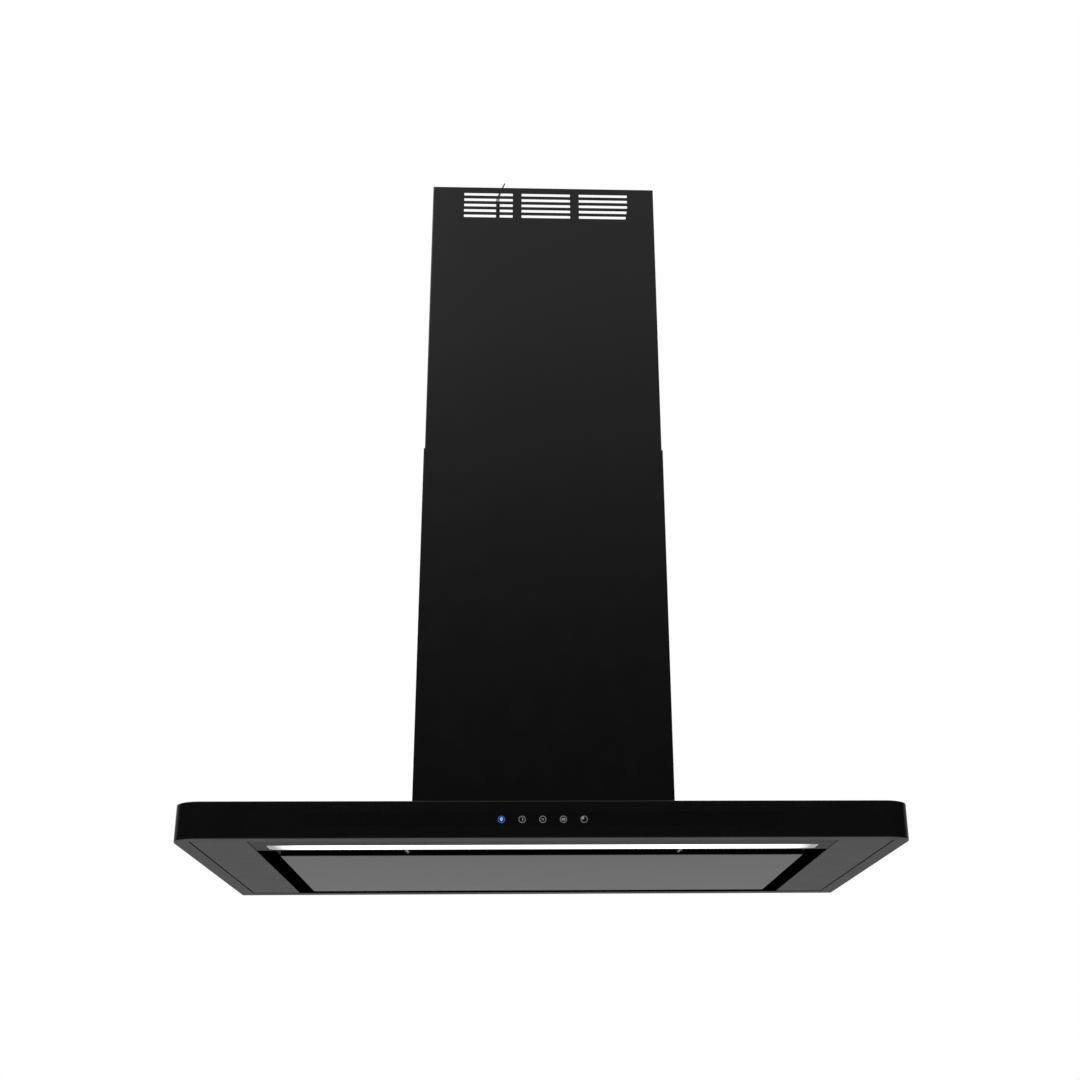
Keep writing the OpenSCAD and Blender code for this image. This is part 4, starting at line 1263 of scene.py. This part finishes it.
# Parts whose CAD shape only needs its edges broken: node, finish, edge in millimetres, segments.
PLAIN_PARTS = [
    # The hinge rail and the filter frame take the painted shade black.
    ("hinge_rail", "inner_black", 0.3),
    ("light_channel", "channel_aluminium", 0.15),
    ("led_driver", "white_plastic", 1.2, 3),
    ("filter_frame", "inner_black", 0.25),
    ("blower_casing", "zinc_sheet", 0.3),
    ("scroll_housing", "grey_plastic", 0.4),
    ("inlet_rings", "grey_plastic", 1.5, 4),
    ("impeller_shaft", "screw_steel", 0.5),
    ("motor_bearings", "screw_steel", 0.4),
    ("motor_bracket", "zinc_sheet", 0.4),
    ("capacitor", "white_plastic", 1.0, 3),
    ("outlet_collar", "black_plastic", 0.35),
    ("damper_pin", "screw_steel", 0.3),
    ("damper_flap_front", "grey_plastic", 0.15),
    ("damper_flap_rear", "grey_plastic", 0.15),
    ("casing_screws", "screw_steel", 0.3),
    ("lead_clip", "black_plastic", 0.4),
    ("panel_stiffeners", "zinc_sheet", 0.3),
    ("panel_hinge_leaves", "spring_steel", 0.25),
    ("hinge_brackets", "spring_steel", 0.25),
    ("hinge_pins", "screw_steel", 0.4),
    ("panel_catches", "catch_steel", 0.2),
    ("panel_catch_pins", "screw_steel", 0.2),
    ("lead_gland", "grey_plastic", 0.5),
    ("control_housing", "black_plastic", 0.4),
    ("control_board", "board_green", 0.15),
    ("control_box", "grey_plastic", 1.0, 3),
    ("control_box_lid", "grey_plastic", 0.7, 3),
]


def make_plain_parts():
    """The parts of PLAIN_PARTS, and the frame that hangs from the ceiling."""
    for node, finish, edge, *segments in PLAIN_PARTS:
        dressed(node, finish, edge * MM, *segments)
    for node in BODY_OF:
        if "upright" in node or node in ("ceiling_plate", "upper_brace"):
            dressed(node, "zinc_sheet", 0.3 * MM)


def make_screws():
    """The screws that hold the frame together and carry the covers."""
    socket_screws("cover_screws", 0, 4.5 * MM, 2.4 * MM, 1.5 * MM)
    socket_screws("lower_cover_screws", 0, 4 * MM, 2 * MM, 1.3 * MM)
    socket_screws("frame_bolts", 0, 4.5 * MM, 2.8 * MM, 1.6 * MM)
    socket_screws("clamp_bolts", 1, 4.8 * MM, 3.4 * MM, 1.7 * MM)


# ---- electrics


# The routes are in millimetres. Each core's route is filed under its finish.
LEAD_ROUTE = [
    (-105, -78, -685), (-105, -92, -683), (-103, -104, -670), (-98, -110, -650), (-85, -112, -610),
    (-75, -112, -570), (-70, -112, -520), (-70, -112, -400), (-70, -112, -280), (-70, -112, -160),
    (-70, -112, -60), (-70, -112, -8),
]
CORE_ROUTES = {
    "core_blue": [(-71.5, -112, -8), (-71.4, -112, -2), (-67.5, -112.5, 8), (-62.5, -113, 18)],
    "core_green_yellow": [(-68.8, -113.3, -8), (-68.4, -114.2, 0), (-65, -117, 10), (-59.5, -119, 22)],
    "core_brown": [(-69, -110.5, -8), (-68.8, -110, -2), (-68, -109, 6), (-66, -108, 14)],
}


def spline_points(route):
    """Catmull-Rom points along a route given in millimetres, as metres."""
    steps = 8
    p = [Vector(q) * MM for q in route]
    points = []
    for i in range(len(p) - 1):
        a, b, c, d = p[max(i - 1, 0)], p[i], p[i + 1], p[min(i + 2, len(p) - 1)]
        for k in range(steps):
            t = k / steps
            bend = (2 * a - 5 * b + 4 * c - d) * t * t + (3 * b - a - 3 * c + d) * t ** 3
            points.append(0.5 * (2 * b + (c - a) * t + bend))
    return points + [p[-1]]


def swept(points, radii, sides):
    """A round tube along points, with one radius a point and closed ends."""
    rings = []
    side = Vector((1, 0, 0))
    angles = [2 * math.pi * k / sides for k in range(sides)]
    for i, point in enumerate(points):
        along = (points[min(i + 1, len(points) - 1)] - points[max(i - 1, 0)]).normalized()
        across = (side - along * side.dot(along)).normalized()
        other = along.cross(across)
        side = across
        r = radii[i]
        rings.append([point + r * (math.cos(a) * across + math.sin(a) * other) for a in angles])
    return mesh_of(skin_rings(rings, caps=True), 45)


def make_lead():
    """The mains lead, cut square at its top, with its three cores and their bare copper tips."""
    points = spline_points(LEAD_ROUTE)
    lead_r, core_r, strand_r, bare = 3.0 * MM, 1.05 * MM, 0.62 * MM, 1.0 * MM
    radii = [lead_r] * (len(points) - 1) + [lead_r - 0.25 * MM]
    new_piece("mains_lead.fine", swept(points, radii, 20), "mains_lead", "sheath_rubber")
    meshes = []
    for i, route in enumerate(CORE_ROUTES.values()):
        path = spline_points(route)
        trimmed = [p for p in path if (p - path[-1]).length > bare]
        meshes.append(marked(swept(trimmed, [core_r] * len(trimmed), 14), i))
        tip = [trimmed[-1], trimmed[-1].lerp(path[-1], 0.5), path[-1]]
        meshes.append(marked(swept(tip, [strand_r, strand_r, 0.5 * MM], 8), len(CORE_ROUTES)))
    new_piece("lead_cores.fine", joined(meshes), "lead_cores", *CORE_ROUTES, "copper")


# ---- build

set_camera()
set_world()
set_floor()
bpy.context.scene.view_settings.view_transform = "Standard"
soft_light("key", (-1.7, -2.6, 1.9), (-0.1, 0, -0.1), (1.2, 1.2), 28, (1.0, 0.97, 1.0))

FINISH = {name: make(name, *values) for name, (make, *values) in FINISHES.items()}
TREES = {
    "points": tree_on_points(),
    "grid": tree_staggered_grid(),
    "ring": tree_ring(),
    "slots": tree_slots(),
}
make_canopy_shell()
make_control_strip()
make_underside()
make_suction_panel()
make_light()
make_filters()
make_covers()
make_impeller()
make_motor()
make_plain_parts()
make_screws()
make_lead()
